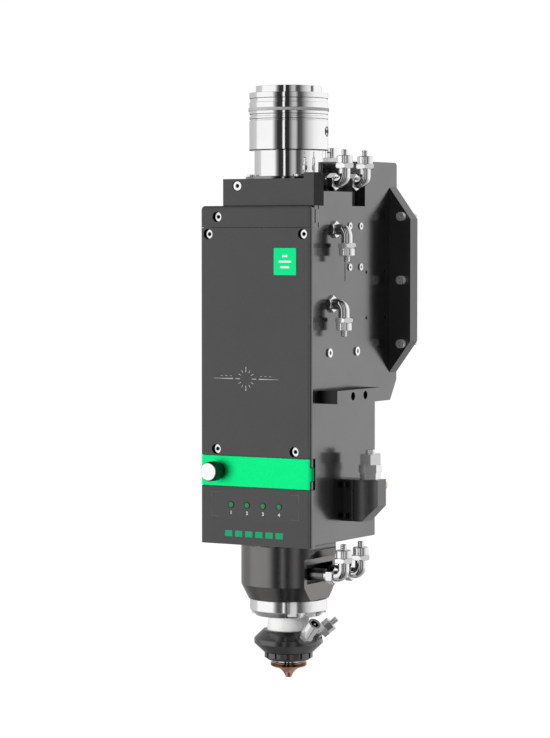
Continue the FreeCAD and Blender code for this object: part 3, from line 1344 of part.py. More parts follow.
def fibre_collar():
    """Bayonet collar that turns on the fibre socket and locks the plug."""
    inner = SOCKET_TUBE_R + MOVING_GAP
    lip_z = SOCKET_Z + SOCKET_NECK_H + SOCKET_TUBE_H + MOVING_GAP
    top = COLLAR_TOP + COLLAR_BOSS_H
    profile = [(inner, COLLAR_Z), (COLLAR_R, COLLAR_Z)]
    low_first = sorted(zip(COLLAR_GROOVES_DOWN, COLLAR_GROOVE_H), reverse=True)
    band_z = COLLAR_TOP - COLLAR_BAND_DOWN
    for down, height in low_first:
        z = COLLAR_TOP - down
        if down < COLLAR_BAND_DOWN and profile[-1][1] < band_z:
            profile += [(COLLAR_R, band_z - COLLAR_BAND_H), (COLLAR_BAND_R, band_z - COLLAR_BAND_H),
                        (COLLAR_BAND_R, band_z), (COLLAR_R, band_z)]
        profile += [(COLLAR_R, z - height), (COLLAR_R - COLLAR_GROOVE, z - height),
                    (COLLAR_R - COLLAR_GROOVE, z), (COLLAR_R, z)]
    profile += [
        (COLLAR_R, COLLAR_TOP),
        (COLLAR_BOSS_R, COLLAR_TOP),
        (COLLAR_BOSS_R, top),
        (COLLAR_LIP_R, top),
        (COLLAR_LIP_R, lip_z),
        (inner, lip_z),
    ]
    collar = turned(profile)
    notch = box(COLLAR_BOSS_R - NOTCH_DEPTH, COLLAR_BOSS_R + 1, -NOTCH_W / 2, NOTCH_W / 2,
                COLLAR_TOP, top + 1)
    return cut_all(collar, around(1, NOTCH_DEG - 90, notch))


def cable_socket():
    """Round connector shell for the control cable, on top of the rear tower."""
    x, y = CABLE_SOCKET_XY
    nut = hex_bar(CABLE_SOCKET_NUT_AF, V(x, y, TOWER_TOP), UP, CABLE_SOCKET_NUT_H)
    shell = pillar(CABLE_SOCKET_R, TOWER_TOP, TOWER_TOP + CABLE_SOCKET_H, x, y)
    inner = pillar(CABLE_SOCKET_R - CABLE_SOCKET_WALL, TOWER_TOP - 1, TOWER_TOP + CABLE_SOCKET_H + 1, x, y)
    return nut.fuse(shell).removeSplitter().cut(inner)


def cable_socket_insert():
    """Insulating insert with its contact holes."""
    x, y = CABLE_SOCKET_XY
    radius = CABLE_SOCKET_R - CABLE_SOCKET_WALL - SEAT_FIT / 2
    top = TOWER_TOP + CABLE_SOCKET_H - CABLE_SOCKET_WALL
    insert = pillar(radius, TOWER_TOP - REAR_TOWER_WALL, top, x, y)
    for i in range(CONTACTS):
        a = math.radians((i + 0.5) * 360.0 / CONTACTS)
        insert = insert.cut(pillar(CONTACT_R, top - CONTACT_DEPTH, top + 1,
                                   x + radius / 2 * math.cos(a), y + radius / 2 * math.sin(a)))
    return insert


def hose_elbow(port, bend_up, collar_l, hex_l, bend_r):
    """Elbow fitting: port is where its axis leaves the wall, towards the right."""
    side = UP if bend_up else UP * -1
    x = port.x
    parts = [rod(HOSE_THREAD_R, V(x - HOSE_THREAD_L, port.y, port.z), RIGHT, HOSE_THREAD_L)]
    if collar_l > 0:
        parts.append(rod(HOSE_COLLAR_R, V(x, port.y, port.z), RIGHT, collar_l))
        x += collar_l
    parts.append(hex_bar(HOSE_HEX_AF, V(x, port.y, port.z), RIGHT, hex_l))
    x += hex_l
    section = Part.Face(Part.Wire(Part.makeCircle(HOSE_TUBE_R, V(x, port.y, port.z), RIGHT)))
    hinge = V(x, port.y, port.z) + side * bend_r
    bend = section.revolve(hinge, V(0, -1, 0) if bend_up else V(0, 1, 0), 90)
    parts.append(bend)
    leg_x = x + bend_r
    leg = V(leg_x, port.y, port.z) + side * bend_r
    flange = V(leg_x, port.y, port.z) + side * HOSE_LEG
    parts.append(rod(HOSE_TUBE_R, leg, side, HOSE_LEG - bend_r + HOSE_FLANGE_H / 2))
    parts.append(hex_bar(HOSE_FLANGE_AF, flange, side, HOSE_FLANGE_H))
    barb = flange + side * HOSE_FLANGE_H
    parts.append(rod(HOSE_STEM_R, barb, side, HOSE_NUT_H))
    parts.append(rod(HOSE_BARB_R, barb + side * HOSE_NUT_H, side, HOSE_BARB_OUT))
    return fuse_all(parts), barb, side


def hose_nut(start, side):
    """Clamping nut round the barb."""
    nut = hex_bar(HOSE_NUT_AF, start, side, HOSE_NUT_H)
    return nut.cut(rod(HOSE_STEM_R, start - side, side, HOSE_NUT_H + 2))


def hose_ports():
    """Every elbow as (port, bends up, length of its collar, length of its hexagon, bend radius)."""
    ports = []
    for y in (-TOP_ELBOW_Y, TOP_ELBOW_Y):
        ports.append((V(BLOCK_SIDE_X, y, BODY_TOP + TOP_ELBOW_UP), True, HOSE_COLLAR_L, HOSE_HEX_L, HOSE_BEND_R))
    for y, z in SIDE_ELBOWS_YZ:
        ports.append((V(BODY_HALF_W, y, z), False, 0.0, SIDE_HEX_L, SIDE_BEND_R))
    for y in (-NOSE_ELBOW_Y, NOSE_ELBOW_Y):
        ports.append((V(NOSE_BOSS_X, y, nose_port_z()), True, NOSE_COLLAR_L, HOSE_HEX_L, HOSE_BEND_R))
    return ports


def gas_block():
    """Assist gas inlet: a foot against the body, a curved front and a cut lower corner."""
    x0 = BODY_HALF_W
    x1 = x0 + GAS_OUT
    foot_x = x0 + GAS_FOOT
    groove_x = foot_x + GAS_GROOVE_W
    z0 = BODY_Z + GAS_BOTTOM_UP
    z1 = z0 + GAS_H
    curve_end = V(x1, GAS_FRONT_Y + GAS_CURVE_DROP, z0)
    curve_mid = V((groove_x + x1) / 2, GAS_FRONT_Y + GAS_CURVE_START, z0)
    wire = Part.Wire([
        Part.makeLine(V(x0, GAS_FRONT_Y, z0), V(groove_x, GAS_FRONT_Y, z0)),
        Part.Arc(V(groove_x, GAS_FRONT_Y, z0), curve_mid, curve_end).toShape(),
        Part.makeLine(curve_end, V(x1, GAS_REAR_Y, z0)),
        Part.makeLine(V(x1, GAS_REAR_Y, z0), V(x0, GAS_REAR_Y, z0)),
        Part.makeLine(V(x0, GAS_REAR_Y, z0), V(x0, GAS_FRONT_Y, z0)),
    ])
    block = Part.Face(wire).extrude(V(0, 0, GAS_H))
    corner = [(x1 - GAS_CHAMFER, z0 - 0.01), (x1 + 1, z0 - 0.01), (x1 + 1, z0 + GAS_CHAMFER + 1)]
    block = block.cut(plate_xz(corner, GAS_FRONT_Y - 1, GAS_REAR_Y + 1))
    tools = [box(foot_x, groove_x, GAS_FRONT_Y - 1, GAS_FRONT_Y + GAS_GROOVE_DEPTH, z0 - 1, z1 + 1)]
    for z in (z0 + GAS_HOLE_EDGE, z1 - GAS_HOLE_EDGE):
        tools.append(rod(GAS_HOLE_R, V(x0 + GAS_HOLE_OUT, GAS_FRONT_Y - 1, z), BACK, GAS_HOLE_DEPTH + 1))
    port_x = x0 + GAS_PORT_X_OUT
    tools.append(pillar(GAS_THREAD_R + SEAT_FIT, z1 - GAS_THREAD_L - 1, z1 + 1, port_x, GAS_PORT_Y))
    plug_at = V(x0 + PLUG_X_OUT, GAS_REAR_Y - PLUG_IN, z1 - PLUG_DOWN)
    tools.append(rod(PLUG_STEM_R + SEAT_FIT, plug_at, BACK, PLUG_IN + 1))
    return cut_all(block, tools)


def gas_plug():
    """Brass plug in the back of the gas inlet."""
    z1 = BODY_Z + GAS_BOTTOM_UP + GAS_H
    at = V(BODY_HALF_W + PLUG_X_OUT, GAS_REAR_Y, z1 - PLUG_DOWN)
    head = rod(PLUG_R, at, BACK, PLUG_OUT)
    stem = rod(PLUG_STEM_R, at, BACK * -1, PLUG_IN)
    return head.fuse(stem).removeSplitter()


def gas_fitting():
    """Straight hose fitting on top of the gas inlet."""
    base = V(BODY_HALF_W + GAS_PORT_X_OUT, GAS_PORT_Y, BODY_Z + GAS_BOTTOM_UP + GAS_H)
    thread = rod(GAS_THREAD_R, base, UP * -1, GAS_THREAD_L)
    lower = hex_bar(GAS_HEX_AF, base, UP, GAS_HEX_H, HEX_TURN)
    flange = hex_bar(GAS_FLANGE_AF, base + UP * GAS_HEX_H, UP, GAS_FLANGE_H, HEX_TURN)
    barb_z = base + UP * (GAS_HEX_H + GAS_FLANGE_H)
    stem = rod(GAS_STEM_R, barb_z, UP, GAS_NUT_H)
    stub = rod(GAS_STUB_R, barb_z + UP * GAS_NUT_H, UP, GAS_STUB_H)
    whole = fuse_all([thread, lower, flange, stem, stub])
    length = GAS_THREAD_L + GAS_HEX_H + GAS_FLANGE_H + GAS_NUT_H + GAS_STUB_H
    return whole.cut(rod(GAS_STEM_R - GAS_TUBE_WALL, base - UP * (GAS_THREAD_L + 1), UP, length + 2))


def gas_fitting_nut():
    """Clamping nut of the straight fitting."""
    start = V(BODY_HALF_W + GAS_PORT_X_OUT, GAS_PORT_Y,
              BODY_Z + GAS_BOTTOM_UP + GAS_H + GAS_HEX_H + GAS_FLANGE_H)
    nut = hex_bar(GAS_NUT_AF, start, UP, GAS_NUT_H)
    return nut.cut(rod(GAS_STEM_R, start - UP, UP, GAS_NUT_H + 2))


def build_all():
    """Write every piece of the head."""
    os.makedirs("parts", exist_ok=True)
    save("main_housing", main_housing())
    save("rear_mounting_plate", rear_mounting_plate())
    save("mounting_screws", *mounting_screws())
    save("front_cover", front_cover())
    save("top_front_plate", top_front_plate())
    save("lower_front_panel", lower_front_panel())
    save("front_badge", badge_box(BADGE_T))
    save("status_label", status_label())
    save("status_lamps", *status_lamps())
    save("status_board", status_board())
    save("cover_screws", *cover_screws())
    save("lens_door", lens_door())
    save("hinge_bracket", *hinge_bracket())
    save("hinge_pin", hinge_pin())
    save("door_thumbscrew", door_thumbscrew())
    save("lens_drawer", lens_drawer())
    window_z = DRAWER_Z + DRAWER_FLOOR
    save("protective_window", pillar(WINDOW_R, window_z, window_z + WINDOW_T))
    inner = WINDOW_R - WINDOW_LIP
    save("window_seal", washer(WINDOW_R, inner, window_z + WINDOW_T, SEAL_T))
    save("window_retainer", washer(WINDOW_R, inner, window_z + WINDOW_T + SEAL_T, RETAINER_T))
    save("focus_carriage", focus_carriage())
    save("focus_lens", focus_lens())
    save("focus_retainer", focus_retainer())
    save("focus_screw", focus_screw())
    save("focus_motor", focus_motor())
    save("guide_rods", *guide_rods())
    save("limit_switches", *limit_switches())
    save("control_board", control_board())
    save("board_standoffs", *board_standoffs())
    save("collimator_barrel", collimator_barrel())
    save("collimating_lens", collimating_lens())
    save("collimator_retainer", collimator_retainer())
    save("fibre_block", fibre_block())
    save("fibre_socket", fibre_socket())
    save("flange_screws", *flange_screws())
    save("fibre_collar", fibre_collar())
    save("cable_socket", cable_socket())
    save("cable_socket_insert", cable_socket_insert())
    elbows = [hose_elbow(*port) for port in hose_ports()]
    for i, place in enumerate(("top", "side", "nose")):
        save(place + "_hose_elbows", *[elbow for elbow, barb, side in elbows[2 * i:2 * i + 2]])
    save("hose_nuts", *[hose_nut(barb, side) for elbow, barb, side in elbows])
    save("gas_block", gas_block())
    save("gas_plug", gas_plug())
    save("gas_fitting", gas_fitting())
    save("gas_fitting_nut", gas_fitting_nut())
    save("side_rail", side_rail())
    save("rail_screws", *rail_screws())
    save("small_side_screws", *wall_screws(M3, SMALL_SIDE_SCREWS))
    save("side_screws", *wall_screws(M4, SIDE_SCREWS))
    save("neck_ring", neck_ring())
    save("lens_housing", lens_housing())
    save("lock_ring", lock_ring())
    save("insulating_sleeve", insulating_sleeve())
    save("sensor_body", sensor_body())
    save("sensor_connector", sensor_connector())
    save("purge_fitting", purge_fitting())
    save("ceramic_ring", ceramic_ring())
    save("ceramic_lock_ring", ceramic_lock_ring())
    save("nozzle_seat", nozzle_seat())
    save("nozzle", nozzle())


build_all()
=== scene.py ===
import json
import math

import bmesh
import bpy
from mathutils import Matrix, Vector


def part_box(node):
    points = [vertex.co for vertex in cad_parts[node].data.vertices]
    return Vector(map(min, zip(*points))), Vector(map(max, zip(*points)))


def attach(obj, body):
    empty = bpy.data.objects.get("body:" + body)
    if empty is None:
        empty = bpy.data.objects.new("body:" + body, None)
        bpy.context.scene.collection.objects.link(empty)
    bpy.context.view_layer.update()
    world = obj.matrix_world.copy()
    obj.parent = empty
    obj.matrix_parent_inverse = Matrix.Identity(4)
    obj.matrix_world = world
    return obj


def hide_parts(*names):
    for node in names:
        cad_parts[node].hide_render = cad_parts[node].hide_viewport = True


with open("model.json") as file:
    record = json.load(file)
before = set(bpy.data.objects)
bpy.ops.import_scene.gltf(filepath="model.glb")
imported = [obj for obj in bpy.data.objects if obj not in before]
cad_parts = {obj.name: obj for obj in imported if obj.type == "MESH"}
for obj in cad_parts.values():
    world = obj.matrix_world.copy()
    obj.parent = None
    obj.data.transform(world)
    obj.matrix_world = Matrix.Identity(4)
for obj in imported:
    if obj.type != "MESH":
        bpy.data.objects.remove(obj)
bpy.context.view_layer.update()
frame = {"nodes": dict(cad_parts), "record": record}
nodes = frame["nodes"]

# Main housing
# One block of aluminium, milled all over, bead blasted and hard anodised to a dark satin grey.
# The covers, the fittings and the nose are all screwed to it.

FLOAT, COLOUR, VECTOR = "NodeSocketFloat", "NodeSocketColor", "NodeSocketVector"
# Nearly all values of a noise lie between these two.
NOISE_LOW, NOISE_HIGH = 0.3, 0.7
# Slots of the Mix node for each kind of data: first value, second value, result.
MIX_SLOTS = {"RGBA": (6, 7, 2), "FLOAT": (2, 3, 0)}
# How much a bend of the surface counts as an edge.
EDGE_GAIN = 4.0
RELIEF_DEPTH = 0.0001


def group_sockets(group, inputs, outputs):
    """Gives a shader group its named sockets and returns its inner ends."""
    for label, kind, value in inputs:
        socket = group.interface.new_socket(name=label, in_out="INPUT", socket_type=kind)
        socket.default_value = value
    for label, kind in outputs:
        group.interface.new_socket(name=label, in_out="OUTPUT", socket_type=kind)
    return group.nodes.new("NodeGroupInput"), group.nodes.new("NodeGroupOutput")


def math_node(tree, operation, first, second=None, clamp=False):
    """One arithmetic node whose inputs are sockets or plain numbers."""
    node = tree.nodes.new("ShaderNodeMath")
    node.operation = operation
    node.use_clamp = clamp
    for slot, value in enumerate((first, second)):
        if value is None:
            continue
        if isinstance(value, (int, float)):
            node.inputs[slot].default_value = value
        else:
            tree.links.new(value, node.inputs[slot])
    return node.outputs[0]


def mixed(tree, mask, first, second, kind="RGBA"):
    """Goes from one socket's colour or value to another's as the mask rises."""
    node = tree.nodes.new("ShaderNodeMix")
    node.data_type = kind
    first_slot, second_slot, result = MIX_SLOTS[kind]
    tree.links.new(mask, node.inputs["Factor"])
    tree.links.new(first, node.inputs[first_slot])
    tree.links.new(second, node.inputs[second_slot])
    return node.outputs[result]


def spread(tree, value, low, high):
    """Takes a noise value to a range."""
    node = tree.nodes.new("ShaderNodeMapRange")
    tree.links.new(value, node.inputs["Value"])
    node.inputs["From Min"].default_value = NOISE_LOW
    node.inputs["From Max"].default_value = NOISE_HIGH
    node.inputs["To Min"].default_value = low
    node.inputs["To Max"].default_value = high
    return node.outputs[0]


def noise(tree, scale, detail=2.0, dimensions="3D"):
    """Noise over the object's own coordinates; with 1D it changes along the height alone."""
    place = tree.nodes.new("ShaderNodeTexCoord")
    node = tree.nodes.new("ShaderNodeTexNoise")
    node.noise_dimensions = dimensions
    node.inputs["Detail"].default_value = detail
    if isinstance(scale, (int, float)):
        node.inputs["Scale"].default_value = scale
    else:
        tree.links.new(scale, node.inputs["Scale"])
    if dimensions == "1D":
        split = tree.nodes.new("ShaderNodeSeparateXYZ")
        tree.links.new(place.outputs["Object"], split.inputs[0])
        tree.links.new(split.outputs["Z"], node.inputs["W"])
    else:
        tree.links.new(place.outputs["Object"], node.inputs["Vector"])
    return node.outputs["Fac"]


def scaled_colour(tree, colour, factor):
    """Colour times a value."""
    node = tree.nodes.new("ShaderNodeVectorMath")
    node.operation = "SCALE"
    tree.links.new(colour, node.inputs[0])
    tree.links.new(factor, node.inputs["Scale"])
    return node.outputs[0]


def surface_group(name, level, roughness, marks, fineness):
    """Group for a finish: it takes a colour, a roughness and how fine the finish's marks are."""
    group = bpy.data.node_groups.new(name, "ShaderNodeTree")
    inner, outer = group_sockets(
        group,
        [("Colour", COLOUR, (level, level, level, 1)), ("Roughness", FLOAT, roughness),
         (marks, FLOAT, fineness)],
        [("Colour", COLOUR), ("Roughness", FLOAT), ("Height", FLOAT)],
    )
    return group, inner, outer


def end_surface(group, inner, outer, shade, unevenness, height):
    """Puts out the colour times a shade, the roughness times an unevenness, and the relief's height."""
    group.links.new(scaled_colour(group, inner.outputs["Colour"], shade), outer.inputs["Colour"])
    rough = math_node(group, "MULTIPLY", inner.outputs["Roughness"], unevenness, True)
    group.links.new(rough, outer.inputs["Roughness"])
    group.links.new(height, outer.inputs["Height"])


blasted, inner, outer = surface_group("Blasted surface", 0.1, 0.4, "Grain", 2500.0)
grain = noise(blasted, inner.outputs["Grain"], detail=3.0)
haze = noise(blasted, 22.0, detail=4.0)
shade = math_node(blasted, "MULTIPLY", spread(blasted, haze, 0.94, 1.06), spread(blasted, grain, 0.9, 1.1))
end_surface(blasted, inner, outer, shade, spread(blasted, haze, 0.88, 1.12), grain)

worn = bpy.data.node_groups.new("Broken edges", "ShaderNodeTree")
inner, outer = group_sockets(
    worn,
    [("Radius", FLOAT, 0.0004), ("Colour", COLOUR, (0.1, 0.1, 0.1, 1)), ("Bare", COLOUR, (0.5, 0.5, 0.5, 1)),
     ("Wear", FLOAT, 0.5)],
    [("Colour", COLOUR), ("Normal", VECTOR)],
)
bevel = worn.nodes.new("ShaderNodeBevel")
bevel.samples = 4
worn.links.new(inner.outputs["Radius"], bevel.inputs["Radius"])
surface = worn.nodes.new("ShaderNodeNewGeometry")
facing = worn.nodes.new("ShaderNodeVectorMath")
facing.operation = "DOT_PRODUCT"
worn.links.new(bevel.outputs[0], facing.inputs[0])
worn.links.new(surface.outputs["Normal"], facing.inputs[1])
bend = math_node(worn, "SUBTRACT", 1.0, facing.outputs["Value"], True)
edge = math_node(worn, "MULTIPLY", bend, EDGE_GAIN, True)
patches = spread(worn, noise(worn, 160.0, detail=4.0), 0.2, 1.0)
mask = math_node(worn, "MULTIPLY", math_node(worn, "MULTIPLY", edge, patches), inner.outputs["Wear"], True)
worn.links.new(mixed(worn, mask, inner.outputs["Colour"], inner.outputs["Bare"]), outer.inputs["Colour"])
worn.links.new(bevel.outputs[0], outer.inputs["Normal"])


def place_group(tree, group, values):
    """Puts a group in a material with its own values, which are numbers, colours or sockets."""
    node = tree.nodes.new("ShaderNodeGroup")
    node.node_tree = group
    for label, value in values.items():
        if isinstance(value, bpy.types.NodeSocket):
            tree.links.new(value, node.inputs[label])
        else:
            node.inputs[label].default_value = value
    return node.outputs


def new_finish(name):
    """A new material, its node tree and its Principled shader."""
    material = bpy.data.materials.new(name)
    material.use_nodes = True
    return material, material.node_tree, material.node_tree.nodes["Principled BSDF"]


def add_relief(tree, shader, height, strength, normal=None):
    """Fine bump on a shader, over the surface's own normal or another one."""
    relief = tree.nodes.new("ShaderNodeBump")
    relief.inputs["Strength"].default_value = strength
    relief.inputs["Distance"].default_value = RELIEF_DEPTH
    tree.links.new(height, relief.inputs["Height"])
    if normal is not None:
        tree.links.new(normal, relief.inputs["Normal"])
    tree.links.new(relief.outputs[0], shader.inputs["Normal"])


def finish_with(name, group, values, bare, edge_radius, wear, bump, metallic=0.0, ior=1.5, coat=0.0):
    """A finish made of one surface group, broken edges and a bump."""
    material, tree, shader = new_finish(name)
    face = place_group(tree, group, values)
    edges = place_group(tree, worn, {
        "Radius": edge_radius, "Colour": face["Colour"], "Bare": bare, "Wear": wear})
    add_relief(tree, shader, face["Height"], bump, edges["Normal"])
    tree.links.new(edges["Colour"], shader.inputs["Base Color"])
    tree.links.new(face["Roughness"], shader.inputs["Roughness"])
    shader.inputs["Metallic"].default_value = metallic
    shader.inputs["IOR"].default_value = ior
    shader.inputs["Coat Weight"].default_value = coat
    return material


def grey(level, tint=1.02):
    """A near neutral colour, a little cool."""
    return (level, level, level * tint, 1)


def dress(material, *names):
    """Gives CAD nodes their finish."""
    for name in names:
        mesh = nodes[name].data
        mesh.materials.clear()
        mesh.materials.append(material)


dark_anodising = finish_with(
    "Dark hard anodising", blasted, {"Colour": grey(0.20), "Roughness": 0.18, "Grain": 2600.0},
    bare=grey(0.5), edge_radius=0.0005, wear=0.3, bump=0.03, metallic=1.0,
)
dress(dark_anodising, "main_housing")

# Rear mounting plate
# Eight-cornered plate in black anodised aluminium, let into the back of the housing.
# Six plated cap screws go through its wings into the machine's slide.

matte_anodising = finish_with(
    "Black plate anodising", blasted, {"Colour": grey(0.022), "Roughness": 0.3, "Grain": 3000.0},
    bare=grey(0.2), edge_radius=0.0005, wear=0.3, bump=0.05, ior=2.0,
)
dress(matte_anodising, "rear_mounting_plate")

plated, inner, outer = surface_group("Plated surface", 0.8, 0.1, "Cloud", 60.0)
cloud = noise(plated, inner.outputs["Cloud"], detail=5.0)
ripple = noise(plated, 900.0, detail=2.0)
end_surface(plated, inner, outer, spread(plated, cloud, 0.96, 1.03), spread(plated, cloud, 0.7, 1.4), ripple)

bright_stud = finish_with(
    "Zinc plated stud", plated, {"Colour": grey(0.97, 1.0), "Roughness": 0.35, "Cloud": 300.0},
    bare=grey(0.95), edge_radius=0.0002, wear=0.3, bump=0.03, metallic=0.45,
)
dress(bright_stud, "mounting_screws")

# Front cover, top plate and lower panel
# Flat aluminium covers with rounded upright edges, powder coated in dark grey.
# The coat stops half way round those edges, where the anodised metal shows.

coated, inner, outer = surface_group("Powder coat", 0.1, 0.4, "Speckle", 1400.0)
speckle = noise(coated, inner.outputs["Speckle"], detail=1.0)
wave = noise(coated, 30.0, detail=3.0)
shade = math_node(coated, "MULTIPLY", spread(coated, speckle, 0.95, 1.05), spread(coated, wave, 0.97, 1.03))
end_surface(coated, inner, outer, shade, spread(coated, speckle, 0.9, 1.1), speckle)

bare_sides = bpy.data.node_groups.new("Bare sides", "ShaderNodeTree")
inner, outer = group_sockets(
    bare_sides,
    [("Face", COLOUR, (0.07, 0.07, 0.07, 1)), ("Side", COLOUR, (0.2, 0.2, 0.2, 1)),
     ("Face Roughness", FLOAT, 0.5), ("Side Roughness", FLOAT, 0.2), ("Start", FLOAT, 0.5)],
    [("Colour", COLOUR), ("Roughness", FLOAT), ("Metallic", FLOAT)],
)
SIDE_GAIN = 12.0
place = bare_sides.nodes.new("ShaderNodeTexCoord")
split = bare_sides.nodes.new("ShaderNodeSeparateXYZ")
bare_sides.links.new(place.outputs["Normal"], split.inputs[0])
sideways = math_node(bare_sides, "ABSOLUTE", split.outputs["X"])
past_start = math_node(bare_sides, "SUBTRACT", sideways, inner.outputs["Start"])
mask = math_node(bare_sides, "MULTIPLY", past_start, SIDE_GAIN, True)
colour = mixed(bare_sides, mask, inner.outputs["Face"], inner.outputs["Side"])
rough = mixed(bare_sides, mask, inner.outputs["Face Roughness"], inner.outputs["Side Roughness"], "FLOAT")
bare_sides.links.new(colour, outer.inputs["Colour"])
bare_sides.links.new(rough, outer.inputs["Roughness"])
bare_sides.links.new(mask, outer.inputs["Metallic"])


def bare_sided(name, colour, ior):
    """A coat whose left and right sides are bare anodised metal."""
    material, tree, shader = new_finish(name)
    face = place_group(tree, coated, {"Colour": colour, "Roughness": 0.55, "Speckle": 1600.0})
    metal = place_group(tree, blasted, {"Colour": grey(0.20), "Roughness": 0.17, "Grain": 2600.0})
    both = place_group(tree, bare_sides, {
        "Face": face["Colour"], "Side": metal["Colour"], "Face Roughness": face["Roughness"],
        "Side Roughness": metal["Roughness"], "Start": 0.5})
    add_relief(tree, shader, face["Height"], strength=0.06)
    tree.links.new(both["Colour"], shader.inputs["Base Color"])
    tree.links.new(both["Roughness"], shader.inputs["Roughness"])
    tree.links.new(both["Metallic"], shader.inputs["Metallic"])
    shader.inputs["IOR"].default_value = ior
    return material


cover_coat = bare_sided("Cover coat", grey(0.074), ior=1.12)
dress(cover_coat, "front_cover", "top_front_plate", "lower_front_panel")

# Screws of the covers and walls
# Zinc plated cap screws. On the covers they sink into counterbores, and light hardly comes back
# out of a bore or of the hexagon in a head, so that shade is painted: black rings in the bores, black
# hexagons in the heads.

plated_screw = finish_with(
    "Plated screw", plated, {"Colour": grey(0.95, 1.0), "Roughness": 0.2, "Cloud": 300.0},
    bare=grey(0.85), edge_radius=0.0002, wear=0.3, bump=0.03, metallic=1.0,
)
dress(plated_screw, "small_side_screws", "side_screws", "cover_screws")


def add_piece(name, builder, material, body):
    """Turns a bmesh of closed shapes into a piece that rides on a body."""
    bmesh.ops.recalc_face_normals(builder, faces=builder.faces)
    mesh = bpy.data.meshes.new(name)
    builder.to_mesh(mesh)
    builder.free()
    mesh.shade_smooth()
    mesh.set_sharp_from_angle(angle=math.radians(28))
    piece = bpy.data.objects.new(name, mesh)
    bpy.context.scene.collection.objects.link(piece)
    mesh.materials.append(material)
    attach(piece, body)
    return piece


def upright_onto(axis):
    """The turn that takes the upright direction onto an axis."""
    return Vector(axis).normalized().to_track_quat("Z", "Y").to_matrix()


def circle(builder, start, turn, distance, radius, count):
    """Points round an axis, at a distance along it; a radius of 0 gives the one point on the axis."""
    points = []
    for i in range(count if radius > 0 else 1):
        a = 2 * math.pi * i / count
        offset = turn @ Vector((radius * math.cos(a), radius * math.sin(a), distance))
        points.append(builder.verts.new(Vector(start) + offset))
    return points


def skin(builder, loops):
    """Joins loops of points, one after the other, into a skin; a loop of one point is a tip."""
    for a, b in zip(loops, loops[1:]):
        count = max(len(a), len(b))
        for i in range(count):
            j = (i + 1) % count
            corners = [a[i % len(a)], a[j % len(a)], b[j % len(b)], b[i % len(b)]]
            face = list(dict.fromkeys(corners))
            if len(face) > 2:
                builder.faces.new(face)


def turned_ring(builder, start, axis, section, count):
    """Ring turned about an axis; its section lists (distance along the axis, radius)."""
    turn = upright_onto(axis)
    loops = [circle(builder, start, turn, distance, radius, count) for distance, radius in section]
    skin(builder, loops + loops[:1])


def ring_of(builder, start, axis, inner_r, outer_r, length, count=32):
    """Ring of rectangular section along an axis."""
    section = [(0, inner_r), (0, outer_r), (length, outer_r), (length, inner_r)]
    turned_ring(builder, start, axis, section, count)


LIP_SHARE = 0.97
CHAMFER_SLOPE = math.tan(math.radians(32))


def hexagon_piece(builder, start, axis, flats, length, turned_by=0.0, count=48):
    """Hexagonal bar whose corners are chamfered at both ends."""
    turn = upright_onto(axis)
    lip = flats / 2 * LIP_SHARE
    loops = [[builder.verts.new(Vector(start))]]
    for near_end, at_lip in ((True, True), (True, False), (False, False), (False, True)):
        loop = []
        for i in range(count):
            a = 2 * math.pi * i / count
            off_flat = (a + math.pi / 6) % (math.pi / 3) - math.pi / 6
            reach = flats / 2 / math.cos(off_flat)
            inset = 0.0 if at_lip else (reach - lip) * CHAMFER_SLOPE
            radius = lip if at_lip else reach
            height = inset if near_end else length - inset
            b = a + math.radians(turned_by)
            offset = turn @ Vector((radius * math.cos(b), radius * math.sin(b), height))
            loop.append(builder.verts.new(Vector(start) + offset))
        loops.append(loop)
    loops.append([builder.verts.new(Vector(start) + turn @ Vector((0, 0, length)))])
    skin(builder, loops)


# Flat black for painted shade in bores, hexagon sockets, wall slots and the collar's grooves. The plug's
# insulator uses it too.
shade_black = finish_with(
    "Unlit black bore", blasted, {"Colour": grey(0.004), "Roughness": 0.8, "Grain": 1500.0},
    bare=grey(0.01), edge_radius=0.0001, wear=0.0, bump=0.02, ior=1.05,
)
# Places across and up of the top plate's screw and of the front cover's upper and lower pairs.
FRONT_SCREWS = [(-0.0338, 0.3579), (-0.0418, 0.3448), (0.0418, 0.3448), (-0.0345, 0.1801), (0.0345, 0.1801)]
# The fibre block's screw: its place across, its face, and its place up.
BLOCK_SCREW_X, BLOCK_SCREW_FACE, BLOCK_SCREW_Z = -0.0184, -0.0462, 0.3815
BORE_R = 0.00398
BORE_SHADE_WALL = 0.00023
BORE_SHADE_OUT = 0.0020
BORE_SHADE_LENGTH = 0.0040
KEY_FLATS = 0.0023
KEY_SUNK = 0.0003
KEY_DEPTH = 0.0008
BLOCK_KEY_DEPTH = 0.0010
BACKWARD = (0, 1, 0)
screw_low, screw_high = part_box("cover_screws")
# Painted shade: a black ring inside each counterbore and a black hexagon in each head's socket.
bores = bmesh.new()
for x, z in FRONT_SCREWS:
    bore_shade_start = (x, screw_low.y - BORE_SHADE_OUT, z)
    ring_of(bores, bore_shade_start, BACKWARD, BORE_R - BORE_SHADE_WALL, BORE_R, BORE_SHADE_LENGTH)
    hexagon_piece(bores, (x, screw_low.y + KEY_SUNK, z), BACKWARD, KEY_FLATS, KEY_DEPTH, turned_by=30.0)
block_key_shade = (BLOCK_SCREW_X, BLOCK_SCREW_FACE + KEY_SUNK, BLOCK_SCREW_Z)
hexagon_piece(bores, block_key_shade, BACKWARD, KEY_FLATS, BLOCK_KEY_DEPTH, turned_by=30.0)
add_piece("screw_bore_shades", bores, shade_black, "head")

# Wall slots
# Narrow slots milled in the right wall, beside the fibre block and near the upper elbows.
# Black fills, sunk just below the wall's face, paint the shade inside them.

